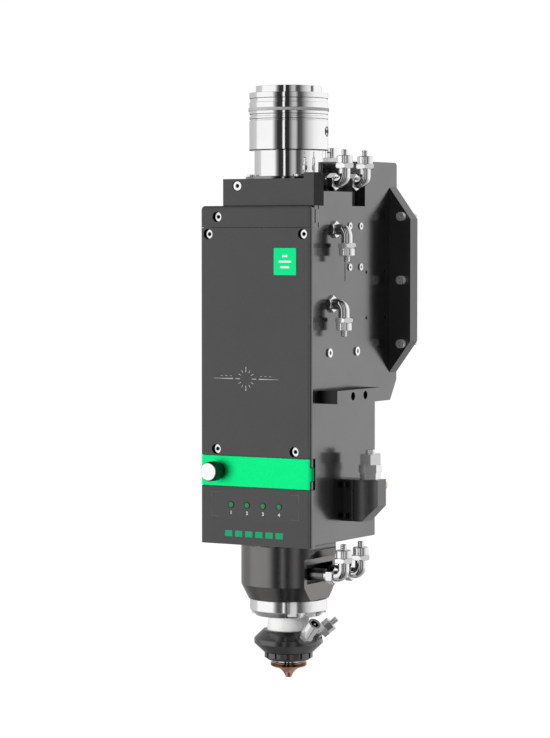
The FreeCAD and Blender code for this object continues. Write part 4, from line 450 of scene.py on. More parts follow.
# Front end, width, lower end and upper end of each slot.
WALL_SLOTS = [
    (-0.0456, 0.0014, 0.3530, 0.3636),
    (-0.0406, 0.0012, 0.3636, 0.3662),
    (-0.0406, 0.0012, 0.3498, 0.3534),
    (0.0009, 0.0008, 0.3090, 0.3265),
]
SLOT_FLOOR_X, SLOT_SHADE_FACE_X = 0.0483, 0.04914
SLOT_SHADE_ROOM = 0.00005


def prism(builder, near, far):
    """Closed block between two outlines of points."""
    first = [builder.verts.new(point) for point in near]
    second = [builder.verts.new(point) for point in far]
    builder.faces.new(first)
    builder.faces.new(second[::-1])
    count = len(first)
    for i in range(count):
        j = (i + 1) % count
        builder.faces.new((first[j], first[i], second[i], second[j]))


# Painted shade: a black block fills each slot up to just below the wall.
slot_shade_mesh = bmesh.new()
for start, width, low, high in WALL_SLOTS:
    front, back = start + SLOT_SHADE_ROOM, start + width - SLOT_SHADE_ROOM
    outline = [(front, low), (back, low), (back, high), (front, high)]
    prism(slot_shade_mesh, [(SLOT_FLOOR_X, y, z) for y, z in outline], [(SLOT_SHADE_FACE_X, y, z) for y, z in outline])
add_piece("wall_slot_shades", slot_shade_mesh, shade_black, "head")

# Badge and printed mark
# The badge is a thin enamelled plate, glued into a shallow seat of the front cover.
# The marks on it and on the cover are screen printed: bars, and a ring of ticks between two tapering rules.

badge_green = finish_with(
    "Badge enamel", plated, {"Colour": (0.006, 0.72, 0.24, 1), "Roughness": 0.4, "Cloud": 90.0},
    bare=(0.3, 0.9, 0.5, 1), edge_radius=0.0003, wear=0.2, bump=0.02, ior=1.2,
)
dress(badge_green, "front_badge")


def flat_print(name, colour, roughness=0.5):
    """Screen printed ink with a little unevenness."""
    return finish_with(
        name, coated, {"Colour": colour, "Roughness": roughness, "Speckle": 2500.0},
        bare=colour, edge_radius=0.0001, wear=0.0, bump=0.05,
    )


INK = 0.00004


def print_on(builder, outline, face_y):
    """A film of ink on a front face, half sunk in it, from an outline of points across and up."""
    prism(builder, [(x, face_y - INK, z) for x, z in outline], [(x, face_y + INK, z) for x, z in outline])


def rectangle(x, z, width, height):
    """Outline of a rectangle about its centre."""
    w, h = width / 2, height / 2
    return [(x - w, z - h), (x + w, z - h), (x + w, z + h), (x - w, z + h)]


MARK_X, MARK_Z = -0.008, 0.2345
TICKS = 12
TICK_START = 0.0052
# Outer end and half width of a tick.
LONG_TICK = (0.0092, 0.00032)
SHORT_TICK = (0.0076, 0.00022)
RULE_START, RULE_END = 0.0115, 0.029
RULE_HALF_START, RULE_HALF_END = 0.0004, 0.0001
DASH_START, DASH_PITCH, DASH_UP = 0.002, 0.004, 0.0022
DASH_W, DASH_H = 0.0018, 0.0003

cover_low, cover_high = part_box("front_cover")
ticks = bmesh.new()
for i in range(TICKS):
    turn = 2 * math.pi * i / TICKS
    end, half = SHORT_TICK if i % 3 else LONG_TICK
    along = Vector((math.cos(turn), math.sin(turn)))
    side = Vector((-along.y, along.x)) * half
    corners = [along * TICK_START - side, along * end - side, along * end + side, along * TICK_START + side]
    print_on(ticks, [(MARK_X + c.x, MARK_Z + c.y) for c in corners], cover_low.y)
for sign in (-1, 1):
    near, far = MARK_X + sign * RULE_START, MARK_X + sign * RULE_END
    rule = [(near, MARK_Z - RULE_HALF_START), (far, MARK_Z - RULE_HALF_END),
            (far, MARK_Z + RULE_HALF_END), (near, MARK_Z + RULE_HALF_START)]
    print_on(ticks, rule, cover_low.y)
    for dash in range(3):
        x = near + sign * (DASH_START + DASH_PITCH * dash)
        print_on(ticks, rectangle(x, MARK_Z + DASH_UP, DASH_W, DASH_H), cover_low.y)
pale_ink = flat_print("Pale ink", grey(0.40))
add_piece("printed_mark", ticks, pale_ink, "head")

# Height above the badge's middle and width of each bar.
BADGE_BARS = [(0.0042, 0.0046), (0.0, 0.0108), (-0.0042, 0.0078)]
BADGE_BAR_H = 0.0015
badge_low, badge_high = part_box("front_badge")
badge_x = (badge_low.x + badge_high.x) / 2
badge_z = (badge_low.z + badge_high.z) / 2
badge_mark = bmesh.new()
for up, width in BADGE_BARS:
    print_on(badge_mark, rectangle(badge_x, badge_z + up, width, BADGE_BAR_H), badge_low.y)
white_ink = flat_print("White ink", grey(0.8))
add_piece("badge_mark", badge_mark, white_ink, "head")

# Status window
# A dark film is glued into a shallow seat of the lower panel. Four green light pipes reach through it
# from the board behind, each with a thin bezel and a printed number; green bars are printed below.

label_film = flat_print("Label film", grey(0.040), roughness=0.34)
dress(label_film, "status_label")
lamp_green, tree, shader = new_finish("Green light pipe")
pipe = place_group(tree, plated, {"Colour": (0.03, 0.16, 0.06, 1), "Roughness": 0.3, "Cloud": 900.0})
tree.links.new(pipe["Colour"], shader.inputs["Base Color"])
tree.links.new(pipe["Roughness"], shader.inputs["Roughness"])
tree.links.new(pipe["Colour"], shader.inputs["Emission Color"])
shader.inputs["Emission Strength"].default_value = 0.15
shader.inputs["IOR"].default_value = 1.3
dress(lamp_green, "status_lamps")
board_mask = flat_print("Solder mask", (0.02, 0.16, 0.06, 1), roughness=0.3)
dress(board_mask, "status_board")
black_oxide = finish_with(
    "Black oxide steel", plated, {"Colour": grey(0.05), "Roughness": 0.32, "Cloud": 200.0},
    bare=grey(0.4), edge_radius=0.0003, wear=0.3, bump=0.05, metallic=0.8,
)

LAMPS = 4
LAMP_PITCH = 0.0142
BEZEL_ROOM, BEZEL_WALL, BEZEL_OUT, BEZEL_SUNK = 0.0001, 0.0004, 0.0003, 0.0001
NUMBER_SIZE = 0.0036
NUMBER_BOLD = 0.00008
NUMBER_DOWN = 0.0062
FORWARD = (0, -1, 0)
panel_low, panel_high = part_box("lower_front_panel")
label_low, label_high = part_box("status_label")
lamp_low, lamp_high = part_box("status_lamps")
lamp_z = (lamp_low.z + lamp_high.z) / 2
bezel_r = (lamp_high.z - lamp_low.z) / 2 + BEZEL_ROOM
bezels = bmesh.new()
for i in range(LAMPS):
    x = (i - (LAMPS - 1) / 2) * LAMP_PITCH
    bezel_start = (x, label_low.y + BEZEL_SUNK, lamp_z)
    ring_of(bezels, bezel_start, FORWARD, bezel_r, bezel_r + BEZEL_WALL, BEZEL_SUNK + BEZEL_OUT)
    numeral = bpy.data.curves.new(f"lamp_number_{i + 1}", "FONT")
    numeral.body = str(i + 1)
    numeral.size = NUMBER_SIZE
    numeral.offset = NUMBER_BOLD
    numeral.extrude = INK
    numeral.align_x = "CENTER"
    numeral.align_y = "CENTER"
    numeral.materials.append(white_ink)
    sign = bpy.data.objects.new(f"lamp_number_{i + 1}", numeral)
    bpy.context.scene.collection.objects.link(sign)
    sign.location = (x, label_low.y, lamp_z - NUMBER_DOWN)
    sign.rotation_euler = (math.radians(90), 0, 0)
    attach(sign, "head")
add_piece("lamp_bezels", bezels, black_oxide, "head")

BARS = 6
FIRST_BAR_X, BAR_PITCH = -0.0235, 0.009
BAR_W, BAR_H = 0.0064, 0.0046
BARS_DOWN = 0.0012
bars = bmesh.new()
bar_z = (label_low.z + panel_low.z) / 2 - BARS_DOWN
for i in range(BARS):
    print_on(bars, rectangle(FIRST_BAR_X + i * BAR_PITCH, bar_z, BAR_W, BAR_H), panel_low.y)
green_ink = flat_print("Green ink", (0.004, 0.30, 0.13, 1))
add_piece("green_bars", bars, green_ink, "head")

LINE_IN, LINE_W = 0.002, 0.0002
LINE_ACROSS, LINE_UP = 0.007, 0.006
corner_x = label_high.x - LINE_IN
corner_up = (label_high.z - label_low.z) / 2 - LINE_IN
label_z = (label_low.z + label_high.z) / 2
corner_lines = bmesh.new()
for right_or_left in (-1, 1):
    for up_or_down in (-1, 1):
        level = rectangle(right_or_left * (corner_x - LINE_ACROSS / 2), label_z + up_or_down * corner_up,
                          LINE_ACROSS, LINE_W)
        upright = rectangle(right_or_left * corner_x, label_z + up_or_down * (corner_up - LINE_UP / 2),
                            LINE_W, LINE_UP)
        print_on(corner_lines, level, label_low.y)
        print_on(corner_lines, upright, label_low.y)
add_piece("label_corner_lines", corner_lines, flat_print("Dim ink", grey(0.12)), "head")

# Door, hinge and door screw
# The door over the window drawer is aluminium, powder coated bright green.
# Its middle knuckle turns on a steel pin between two dark knuckles; a knurled screw holds it shut.

green_coat = finish_with(
    "Green powder coat", coated, {"Colour": (0.005, 0.77, 0.225, 1), "Roughness": 0.5, "Speckle": 1500.0},
    bare=(0.4, 0.95, 0.6, 1), edge_radius=0.0005, wear=0.2, bump=0.05, ior=1.15,
)
dress(green_coat, "lens_door")
dress(dark_anodising, "hinge_bracket")
dress(plated_screw, "hinge_pin")

screw_low, screw_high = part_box("door_thumbscrew")
screw_x = (screw_low.x + screw_high.x) / 2
screw_z = (screw_low.z + screw_high.z) / 2
head_r = (screw_high.x - screw_low.x) / 2
full_length = screw_high.y - screw_low.y
HEAD_LENGTH = 0.0145
SHANK_R = 0.0025
SHANK_POINT = 0.0005
TEETH = 40
TOOTH_DEPTH = 0.00045
KNURL_START, KNURL_END = 0.0012, HEAD_LENGTH - 0.004
KNURL_R = head_r - 0.0001
FACE_SUNK, FACE_R = 0.0003, head_r - 0.0010
NECK_START, NECK_R = HEAD_LENGTH - 0.0032, head_r - 0.0012
# Depth behind the head's face, radius, and whether the knurl's teeth are cut there.
stations = [
    (FACE_SUNK, 0.0, False),
    (FACE_SUNK, FACE_R, False),
    (KNURL_START, KNURL_R, True),
    (KNURL_END, KNURL_R, True),
    (NECK_START, NECK_R, False),
    (HEAD_LENGTH, NECK_R, False),
    (HEAD_LENGTH, SHANK_R, False),
    (full_length - SHANK_POINT, SHANK_R, False),
    (full_length, SHANK_R - SHANK_POINT, False),
    (full_length, 0.0, False),
]
knurl = bmesh.new()
loops = []
for depth, radius, toothed in stations:
    loop = []
    for i in range(2 * TEETH if radius > 0 else 1):
        a = math.pi * i / TEETH
        r = radius - (TOOTH_DEPTH if toothed and i % 2 else 0)
        across, up = r * math.cos(a), r * math.sin(a)
        loop.append(knurl.verts.new((screw_x + across, screw_low.y + depth, screw_z + up)))
    loops.append(loop)
skin(knurl, loops)
thumb = add_piece("knurled_door_screw", knurl, black_oxide, "thumbscrew")
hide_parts("door_thumbscrew")


def turned_piece(builder, start, axis, profile, count=40):
    """Closed turning about an axis; the profile lists (distance along the axis, radius)."""
    turn = upright_onto(axis)
    whole = [(profile[0][0], 0.0), *profile, (profile[-1][0], 0.0)]
    skin(builder, [circle(builder, start, turn, distance, radius, count) for distance, radius in whole])


DISC_R, DISC_LIP_R = head_r - 0.0008, head_r - 0.0011
DISC_LIP, DISC_THICK = 0.0003, 0.0006
face_disc = bmesh.new()
disc_profile = [(0.0, DISC_LIP_R), (DISC_LIP, DISC_R), (DISC_THICK, DISC_R)]
turned_piece(face_disc, (screw_x, screw_low.y, screw_z), BACKWARD, disc_profile, count=64)
bright_face = finish_with(
    "Bright turned face", plated, {"Colour": grey(0.97, 1.0), "Roughness": 0.12, "Cloud": 60.0},
    bare=grey(0.97), edge_radius=0.0001, wear=0.1, bump=0.005, metallic=1.0,
)
add_piece("door_screw_face", face_disc, bright_face, "thumbscrew")

# Window drawer
# Bright aluminium tray that slides out behind the door. It holds the protective window,
# which a rubber seal and a brass ring press down.

turned, inner, outer = surface_group("Turned surface", 0.6, 0.2, "Lines", 5000.0)
lines = noise(turned, inner.outputs["Lines"], detail=1.0, dimensions="1D")
cloud = noise(turned, 70.0, detail=3.0)
shade = math_node(turned, "MULTIPLY", spread(turned, lines, 0.985, 1.015), spread(turned, cloud, 0.98, 1.02))
end_surface(turned, inner, outer, shade, spread(turned, lines, 0.93, 1.08), lines)

bright_aluminium = finish_with(
    "Turned aluminium", turned, {"Colour": grey(0.66), "Roughness": 0.3, "Lines": 6000.0},
    bare=grey(0.8), edge_radius=0.0003, wear=0.2, bump=0.05, metallic=1.0,
)
dress(bright_aluminium, "lens_drawer")
yellow_brass = finish_with(
    "Turned brass", turned, {"Colour": (0.80, 0.60, 0.28, 1), "Roughness": 0.2, "Lines": 7000.0},
    bare=(0.95, 0.8, 0.5, 1), edge_radius=0.0002, wear=0.2, bump=0.04, metallic=1.0,
)
dress(yellow_brass, "window_retainer")
black_rubber = finish_with(
    "Seal rubber", coated, {"Colour": grey(0.025), "Roughness": 0.7, "Speckle": 3000.0},
    bare=grey(0.05), edge_radius=0.0002, wear=0.0, bump=0.1,
)
dress(black_rubber, "window_seal")
lens_glass, tree, shader = new_finish("Coated optical glass")
clean = place_group(tree, plated, {"Colour": (0.86, 0.95, 0.97, 1), "Roughness": 0.03, "Cloud": 80.0})
tree.links.new(clean["Colour"], shader.inputs["Base Color"])
tree.links.new(clean["Roughness"], shader.inputs["Roughness"])
shader.inputs["Transmission Weight"].default_value = 1.0
shader.inputs["IOR"].default_value = 1.46
dress(lens_glass, "protective_window")

# Focus unit
# A carriage on two ground rods holds the focusing lens; a hollow motor on the chamber's roof moves it
# with a screw. The limit switches and the board sit on the chamber's walls.

chrome = finish_with(
    "Polished plating", plated, {"Colour": grey(0.88, 1.005), "Roughness": 0.04, "Cloud": 40.0},
    bare=grey(0.95), edge_radius=0.0003, wear=0.2, bump=0.004, metallic=1.0,
)
moulded = finish_with(
    "Moulded insulator", coated, {"Colour": (0.62, 0.60, 0.52, 1), "Roughness": 0.5, "Speckle": 900.0},
    bare=(0.8, 0.78, 0.7, 1), edge_radius=0.0003, wear=0.1, bump=0.05,
)
dress(chrome, "guide_rods")
dress(bright_aluminium, "focus_carriage")
dress(lens_glass, "focus_lens")
dress(yellow_brass, "focus_retainer", "board_standoffs")
dress(plated_screw, "focus_screw")
dress(black_oxide, "focus_motor")
dress(moulded, "limit_switches")
dress(board_mask, "control_board")

# Fibre block and collimator
# The block closes the top of the housing and is powder coated like the covers.
# Below it hangs a black barrel with the collimating lens and its retainer.

dark_coat = finish_with(
    "Dark powder coat", coated, {"Colour": grey(0.074), "Roughness": 0.55, "Speckle": 1600.0},
    bare=grey(0.2), edge_radius=0.0006, wear=0.25, bump=0.08, ior=1.12,
)
dress(dark_coat, "fibre_block")
dress(matte_anodising, "collimator_barrel", "collimator_retainer")
dress(lens_glass, "collimating_lens")

# Fibre socket and collar
# Both are turned from steel and polished; four plated screws hold the socket's flange. The collar turns
# on the socket's tube and locks the plug, and a set screw in a round seat marks its locked place.

height_band = bpy.data.node_groups.new("Height band", "ShaderNodeTree")
inner, outer = group_sockets(
    height_band,
    [("Colour", COLOUR, (0.5, 0.5, 0.5, 1)), ("Band", COLOUR, (0.05, 0.05, 0.05, 1)), ("Low", FLOAT, 0.0),
     ("High", FLOAT, 0.0)],
    [("Colour", COLOUR)],
)
place = height_band.nodes.new("ShaderNodeTexCoord")
split = height_band.nodes.new("ShaderNodeSeparateXYZ")
height_band.links.new(place.outputs["Object"], split.inputs[0])
above = math_node(height_band, "GREATER_THAN", split.outputs["Z"], inner.outputs["Low"])
below = math_node(height_band, "LESS_THAN", split.outputs["Z"], inner.outputs["High"])
between = math_node(height_band, "MULTIPLY", above, below)
banded = mixed(height_band, between, inner.outputs["Colour"], inner.outputs["Band"])
height_band.links.new(banded, outer.inputs["Colour"])


def add_band(material, low, high, colour):
    """Another colour between two heights of a finish."""
    tree = material.node_tree
    socket = tree.nodes["Principled BSDF"].inputs["Base Color"]
    under = socket.links[0].from_socket
    band = place_group(tree, height_band, {"Colour": under, "Band": colour, "Low": low, "High": high})
    tree.links.new(band["Colour"], socket)


def polished(name):
    """Steel turned and polished to a mirror."""
    return finish_with(
        name, turned, {"Colour": grey(0.92, 1.005), "Roughness": 0.045, "Lines": 2500.0},
        bare=grey(0.95), edge_radius=0.0008, wear=0.2, bump=0.003, metallic=1.0,
    )


polished_turning = polished("Polished turning")
dress(polished_turning, "fibre_collar")
# A grey band painted on the flange's rim makes it less bright than the tube: a painted dark reflection.
RIM_BAND_LOW, RIM_BAND_HIGH = 0.3860, 0.3894
socket_turning = polished("Polished socket")
add_band(socket_turning, RIM_BAND_LOW, RIM_BAND_HIGH, grey(0.3))
dress(socket_turning, "fibre_socket")
dress(plated_screw, "flange_screws")

collar_low, collar_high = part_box("fibre_collar")
WALL_R = 0.0305
MARK_AZIMUTH = math.radians(15)
MARK_UP = 0.0142
SEAT_R, SEAT_WALL = 0.0040, 0.0006
KEY_R, KEY_WALL = 0.0016, 0.0008
SEAT_SUNK, SEAT_LENGTH = 0.0007, 0.0009
mark_axis = Vector((math.cos(MARK_AZIMUTH), math.sin(MARK_AZIMUTH), 0))
mark_base = mark_axis * (WALL_R - SEAT_SUNK) + Vector((0, 0, collar_low.z + MARK_UP))
mark = bmesh.new()
ring_of(mark, mark_base, mark_axis, SEAT_R - SEAT_WALL, SEAT_R, SEAT_LENGTH)
ring_of(mark, mark_base, mark_axis, KEY_R - KEY_WALL, KEY_R, SEAT_LENGTH, count=6)
add_piece("collar_index_screw", mark, black_oxide, "collar")

# Height above the collar's foot and radius of each ring of painted shade: three in the grooves, one at the
# foot's edge.
GROOVES = [(0.0397, 0.0303), (0.0275, 0.0303), (0.0239, 0.0303), (0.00005, 0.03056)]
GROOVE_W, GROOVE_DEPTH = 0.0005, 0.0006
UPWARD = (0, 0, 1)
grooves = bmesh.new()
for up, radius in GROOVES:
    foot = (0, 0, collar_low.z + up - GROOVE_W / 2)
    ring_of(grooves, foot, UPWARD, radius - GROOVE_DEPTH, radius, GROOVE_W, count=96)
add_piece("collar_groove_shades", grooves, shade_black, "collar")

BAND_UP, BAND_H = 0.0299, 0.0022
BAND_R, BAND_WALL = 0.03122, 0.00062
band = bmesh.new()
ring_of(band, (0, 0, collar_low.z + BAND_UP), UPWARD, BAND_R - BAND_WALL, BAND_R, BAND_H, count=96)
matte_band = finish_with(
    "Matte ground band", blasted, {"Colour": grey(0.62), "Roughness": 0.6, "Grain": 3000.0},
    bare=grey(0.7), edge_radius=0.0002, wear=0.1, bump=0.05, metallic=0.6,
)
add_piece("collar_ground_band", band, matte_band, "collar")

# Cable socket
# Small polished connector shell, screwed into the top of the rear tower.
# A moulded insert inside carries the contacts.

dress(polished_turning, "cable_socket")
dress(moulded, "cable_socket_insert")

# Hose fittings
# Plated brass elbows screwed into the body: round collar, chamfered hexagon, bent tube, hexagonal flange.
# A round nut clamps each hose over a ribbed barb.


def bent_tube(builder, start, side, radius, bend_radius, reach, leg, steps=14, count=32):
    """Tube that leaves to the right and turns up or down."""
    loops = [[builder.verts.new(start)]]
    for k in range(-1, steps + 2):
        a = math.pi / 2 * max(0, min(k, steps)) / steps
        run = 0 if k < 0 else reach - bend_radius
        centre = start + Vector((run + bend_radius * math.sin(a), 0, side * bend_radius * (1 - math.cos(a))))
        if k > steps:
            centre.z = start.z + side * leg
        outward = Vector((-math.sin(a), 0, side * math.cos(a)))
        loop = []
        for i in range(count):
            b = 2 * math.pi * i / count
            offset = outward * radius * math.cos(b) + Vector((0, radius * math.sin(b), 0))
            loop.append(builder.verts.new(centre + offset))
        loops.append(loop)
    loops.append([builder.verts.new(start + Vector((reach, 0, side * leg)))])
    skin(builder, loops)


TUBE_R, TUBE_BEND, LEG = 0.0044, 0.0054, 0.0102
FLANGE_FLATS, FLANGE_H = 0.0134, 0.0040
NUT_R, NUT_H, NUT_LOW_EDGE, NUT_TOP_EDGE = 0.0061, 0.0060, 0.0003, 0.0005
STEM_R, STEM_SUNK = 0.0021, 0.0010
BARB_R, BARB_L, RIB = 0.0024, 0.0044, 0.0004
# Start and end of each of the barb's ribs, counted from the nut's top.
BARB_RIBS = [(0.0004, 0.0012), (0.0018, 0.0026), (0.0032, 0.0040)]
# Floor of the groove behind each rib; the last is the barb's end.
BARB_GROOVES = [0.0014, 0.0028, BARB_L]
HEX_FLATS = 0.0116
PORT_R, PORT_SUNK, PORT_LENGTH = 0.0036, 0.0040, 0.0039
COLLAR_R, COLLAR_EDGE = 0.0047, 0.0003
# For each pair of elbows: length of the round collar, length of the hexagon, reach of the bend.
SHAPES = {"top": (0.0044, 0.0060, 0.0071), "side": (0.0, 0.0025, 0.0084), "nose": (0.0024, 0.0060, 0.0071)}
right = Vector((1, 0, 0))
barb_profile = [(-STEM_SUNK, STEM_R), (NUT_H, STEM_R)]
for (rise, fall), groove in zip(BARB_RIBS, BARB_GROOVES):
    barb_profile += [(NUT_H + rise, BARB_R), (NUT_H + fall, BARB_R), (NUT_H + groove, BARB_R - RIB)]
nut_section = [
    (0.0, STEM_R),
    (0.0, NUT_R - NUT_LOW_EDGE),
    (NUT_LOW_EDGE, NUT_R),
    (NUT_H - NUT_TOP_EDGE, NUT_R),
    (NUT_H, NUT_R - NUT_TOP_EDGE),
    (NUT_H, STEM_R),
]
clamp_nuts = bmesh.new()
flanges = bmesh.new()
for pair, (collar_l, hex_l, bend_reach) in SHAPES.items():
    elbows = bmesh.new()
    for mount in frame["record"]["mounts"]:
        if not mount["name"].startswith(pair + "_hose"):
            continue
        side = mount["axis"][2]
        up = Vector((0, 0, side))
        barb = Vector(mount["pos_m"]) - up * (BARB_L / 2 + NUT_H)
        bend = barb - up * (FLANGE_H + LEG) - right * bend_reach
        port = bend - right * (hex_l + collar_l)
        turned_piece(elbows, port - right * PORT_SUNK, right, [(0.0, PORT_R), (PORT_LENGTH, PORT_R)])
        if collar_l > 0:
            turned_piece(elbows, port, right, [
                (0.0, COLLAR_R - COLLAR_EDGE), (COLLAR_EDGE, COLLAR_R),
                (collar_l - COLLAR_EDGE, COLLAR_R), (collar_l, COLLAR_R - COLLAR_EDGE),
            ])
        hexagon_piece(elbows, bend - right * hex_l, right, HEX_FLATS, hex_l)
        bent_tube(elbows, bend, side, TUBE_R, TUBE_BEND, bend_reach, LEG + FLANGE_H / 2)
        turned_piece(elbows, barb, up, barb_profile, count=28)
        hexagon_piece(flanges, barb - up * FLANGE_H, up, FLANGE_FLATS, FLANGE_H, turned_by=30.0)
        turned_ring(clamp_nuts, barb, up, nut_section, count=72)
    piece = add_piece(f"{pair}_elbow_fittings", elbows, chrome, "head")
    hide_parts(f"{pair}_hose_elbows")
bright_plating = finish_with(
    "Bright plating", plated, {"Colour": grey(0.97, 1.0), "Roughness": 0.1, "Cloud": 40.0},
    bare=grey(0.95), edge_radius=0.0003, wear=0.2, bump=0.004, metallic=0.78,
)
nuts = add_piece("hose_clamping_nuts", clamp_nuts, bright_plating, "head")
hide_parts("hose_nuts")
add_piece("elbow_hexagons", flanges, bright_plating, "head")

# Gas inlet
# Black anodised block screwed to the right side, with a brass plug behind.
# A plated straight fitting with a hexagon nut stands on top.

black_anodising = finish_with(
    "Black anodising", blasted, {"Colour": grey(0.034), "Roughness": 0.22, "Grain": 3000.0},
    bare=grey(0.3), edge_radius=0.0005, wear=0.3, bump=0.04, ior=2.1,
)
dress(black_anodising, "gas_block")
dress(yellow_brass, "gas_plug")
dress(bright_plating, "gas_fitting", "gas_fitting_nut")

# Side rail
# Bar across the right wall, coated black, with bare anodised metal on its outer face.
# Two blackened cap screws hold it.

dress(bare_sided("Rail anodising", grey(0.02), ior=1.3), "side_rail")
dress(black_oxide, "rail_screws")

# Lens housing
# Turned and milled in aluminium, black anodised, with a flat and a pocket for the two hose ports.
# It hangs from a polished neck ring under the body.

black_turning = finish_with(
    "Dark anodised turning", turned, {"Colour": (0.204, 0.201, 0.197, 1), "Roughness": 0.24, "Lines": 1500.0},
    bare=grey(0.4), edge_radius=0.0005, wear=0.3, bump=0.001, metallic=1.0,
)
dress(black_turning, "lens_housing")
dress(polished_turning, "neck_ring")

# Lock ring
# Polished steel ring with four slots for a hook spanner.
# It clamps the ceramic sleeve, whose white flange shows in the slots.

satin_turning = finish_with(
    "Satin turning", turned, {"Colour": grey(0.93, 1.0), "Roughness": 0.13, "Lines": 2500.0},
    bare=grey(0.95), edge_radius=0.0008, wear=0.2, bump=0.003, metallic=0.95,
)
dress(satin_turning, "lock_ring")
ceramic = finish_with(
    "Fired ceramic", plated, {"Colour": (0.78, 0.78, 0.77, 1), "Roughness": 0.3, "Cloud": 120.0},
    bare=(0.9, 0.9, 0.88, 1), edge_radius=0.0003, wear=0.1, bump=0.01, coat=0.2,
)
SLOTS, SLOT_DEPTH, SLOT_W = 4, 0.0026, 0.0067
FIRST_SLOT = math.radians(-54)
FLOOR_THICK, FLOOR_SUNK, FLOOR_ROOM, FLOOR_UP = 0.0014, 0.0002, 0.0001, 0.0015
ring_low, ring_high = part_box("lock_ring")
slot_floors = bmesh.new()
for i in range(SLOTS):
    a = FIRST_SLOT + 2 * math.pi * i / SLOTS
    outward = Vector((math.cos(a), math.sin(a), 0))
    across = Vector((-outward.y, outward.x, 0)) * (SLOT_W / 2 - FLOOR_ROOM)
    floor_point = outward * (ring_high.x - SLOT_DEPTH - FLOOR_SUNK)
    low_end, high_end = Vector((0, 0, ring_low.z + FLOOR_UP)), Vector((0, 0, ring_high.z))
    outline = [floor_point - across + low_end, floor_point + across + low_end,
               floor_point + across + high_end, floor_point - across + high_end]
    prism(slot_floors, outline, [point + outward * FLOOR_THICK for point in outline])
add_piece("lock_ring_slot_floors", slot_floors, ceramic, "sleeve_lock_ring")

# Insulating sleeve and sensor
# The white sleeve is fired ceramic. The sensor's body below it is black anodised aluminium and carries
# a plated plug socket, with a black insulator and one pin, and a plated purge fitting.

sensor_black = finish_with(
    "Black sensor anodising", blasted, {"Colour": grey(0.006), "Roughness": 0.24, "Grain": 3000.0},
    bare=grey(0.2), edge_radius=0.0005, wear=0.3, bump=0.04, ior=2.05,
)
dress(ceramic, "insulating_sleeve")
dress(sensor_black, "sensor_body")
dress(bright_plating, "sensor_connector", "purge_fitting")

PLUG_AXIS = Vector((0.646, -0.288, 0.707)).normalized()
PLUG_R = 0.0050
INSULATOR_R, INSULATOR_SUNK, INSULATOR_LENGTH = 0.00335, 0.0016, 0.0006
PIN_R, PIN_SUNK, PIN_LENGTH, PIN_EDGE_R, PIN_TIP = 0.0008, 0.0010, 0.0005, 0.0005, 0.0007
plug_low, plug_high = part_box("sensor_connector")
rim_reach = [PLUG_R * math.sqrt(1 - share * share) for share in PLUG_AXIS]
mouth = Vector((plug_high.x - rim_reach[0], plug_low.y + rim_reach[1], plug_high.z - rim_reach[2]))
insulator = bmesh.new()
disc_profile = [(0.0, INSULATOR_R), (INSULATOR_LENGTH, INSULATOR_R)]
turned_piece(insulator, mouth - PLUG_AXIS * INSULATOR_SUNK, PLUG_AXIS, disc_profile)
add_piece("sensor_plug_insulator", insulator, shade_black, "head")
pin = bmesh.new()
pin_profile = [(0.0, PIN_R), (PIN_LENGTH, PIN_R), (PIN_TIP, PIN_EDGE_R)]
turned_piece(pin, mouth - PLUG_AXIS * PIN_SUNK, PLUG_AXIS, pin_profile, count=16)
add_piece("sensor_plug_pin", pin, bright_plating, "head")

# Nozzle
# Turned copper, screwed into a seat that is plated in pale gold and sits in the lower ceramic ring.
# A black anodised ring clamps that ceramic ring from below.

copper = finish_with(
    "Turned copper", turned, {"Colour": (0.90, 0.50, 0.39, 1), "Roughness": 0.09, "Lines": 2500.0},
    bare=(0.8, 0.45, 0.35, 1), edge_radius=0.0003, wear=0.3, bump=0.006, metallic=1.0,
)
# A dark band is painted on the rim, so it is darker than the cone: a painted dark reflection.
RIM_LOW, RIM_HIGH = 0.0094, 0.0118
add_band(copper, RIM_LOW, RIM_HIGH, (0.13, 0.045, 0.018, 1))
pale_gold = finish_with(
    "Pale gold plating", plated, {"Colour": (0.86, 0.80, 0.70, 1), "Roughness": 0.1, "Cloud": 80.0},
    bare=(0.95, 0.92, 0.85, 1), edge_radius=0.0003, wear=0.2, bump=0.01, metallic=1.0,
)
dress(copper, "nozzle")
dress(pale_gold, "nozzle_seat")
dress(ceramic, "ceramic_ring")
dress(matte_anodising, "ceramic_lock_ring")

# Studio
# White surroundings with dark flags in front, so that polished metal shows the stripes of a photo studio.
# Other surfaces get an even, weak light from the surroundings and two large lamps.

CAMERA_AZIMUTH = math.radians(30.6)
CAMERA_PITCH = math.radians(2.62)
CAMERA_PLACE = (1.11955, -1.91398, 0.34170)
LENS, SENSOR_W = 139.5, 36
SOFT_STRENGTH = 0.14
WHITE = (1, 1, 1, 1)
# Degrees from the camera's direction, counted to the right, and how bright the studio is there.
STUDIO = [
    (-180, 0.55), (-141, 0.55), (-112, 0.62), (-104, 1.0), (-50, 1.0), (-40, 0.22), (-33, 0.03), (-19, 0.03),
    (-17, 1.0), (-12.5, 1.0), (-11.5, 0.02), (0, 0.03), (12, 0.5), (20, 0.55), (27, 0.06), (38, 0.09),
    (58, 0.62), (80, 0.92), (100, 1.0), (150, 1.0), (180, 0.55),
]
# Degrees above the horizon, and how bright the studio is there.
HEIGHTS = [
    (-90, 0.42), (-50, 0.38), (-30, 0.55), (-14, 1.0), (26, 1.0), (44, 0.8), (60, 0.3), (74, 0.04),
    (90, 0.03),
]

world = bpy.data.worlds.new("Studio")
bpy.context.scene.world = world
world.use_nodes = True
studio = world.node_tree
studio.nodes.clear()
output = studio.nodes.new("ShaderNodeOutputWorld")
place = studio.nodes.new("ShaderNodeTexCoord")


def run_along(direction):
    """How far a ray runs along a fixed direction."""
    node = studio.nodes.new("ShaderNodeVectorMath")
    node.operation = "DOT_PRODUCT"
    studio.links.new(place.outputs["Generated"], node.inputs[0])
    node.inputs[1].default_value = direction
    return node.outputs["Value"]


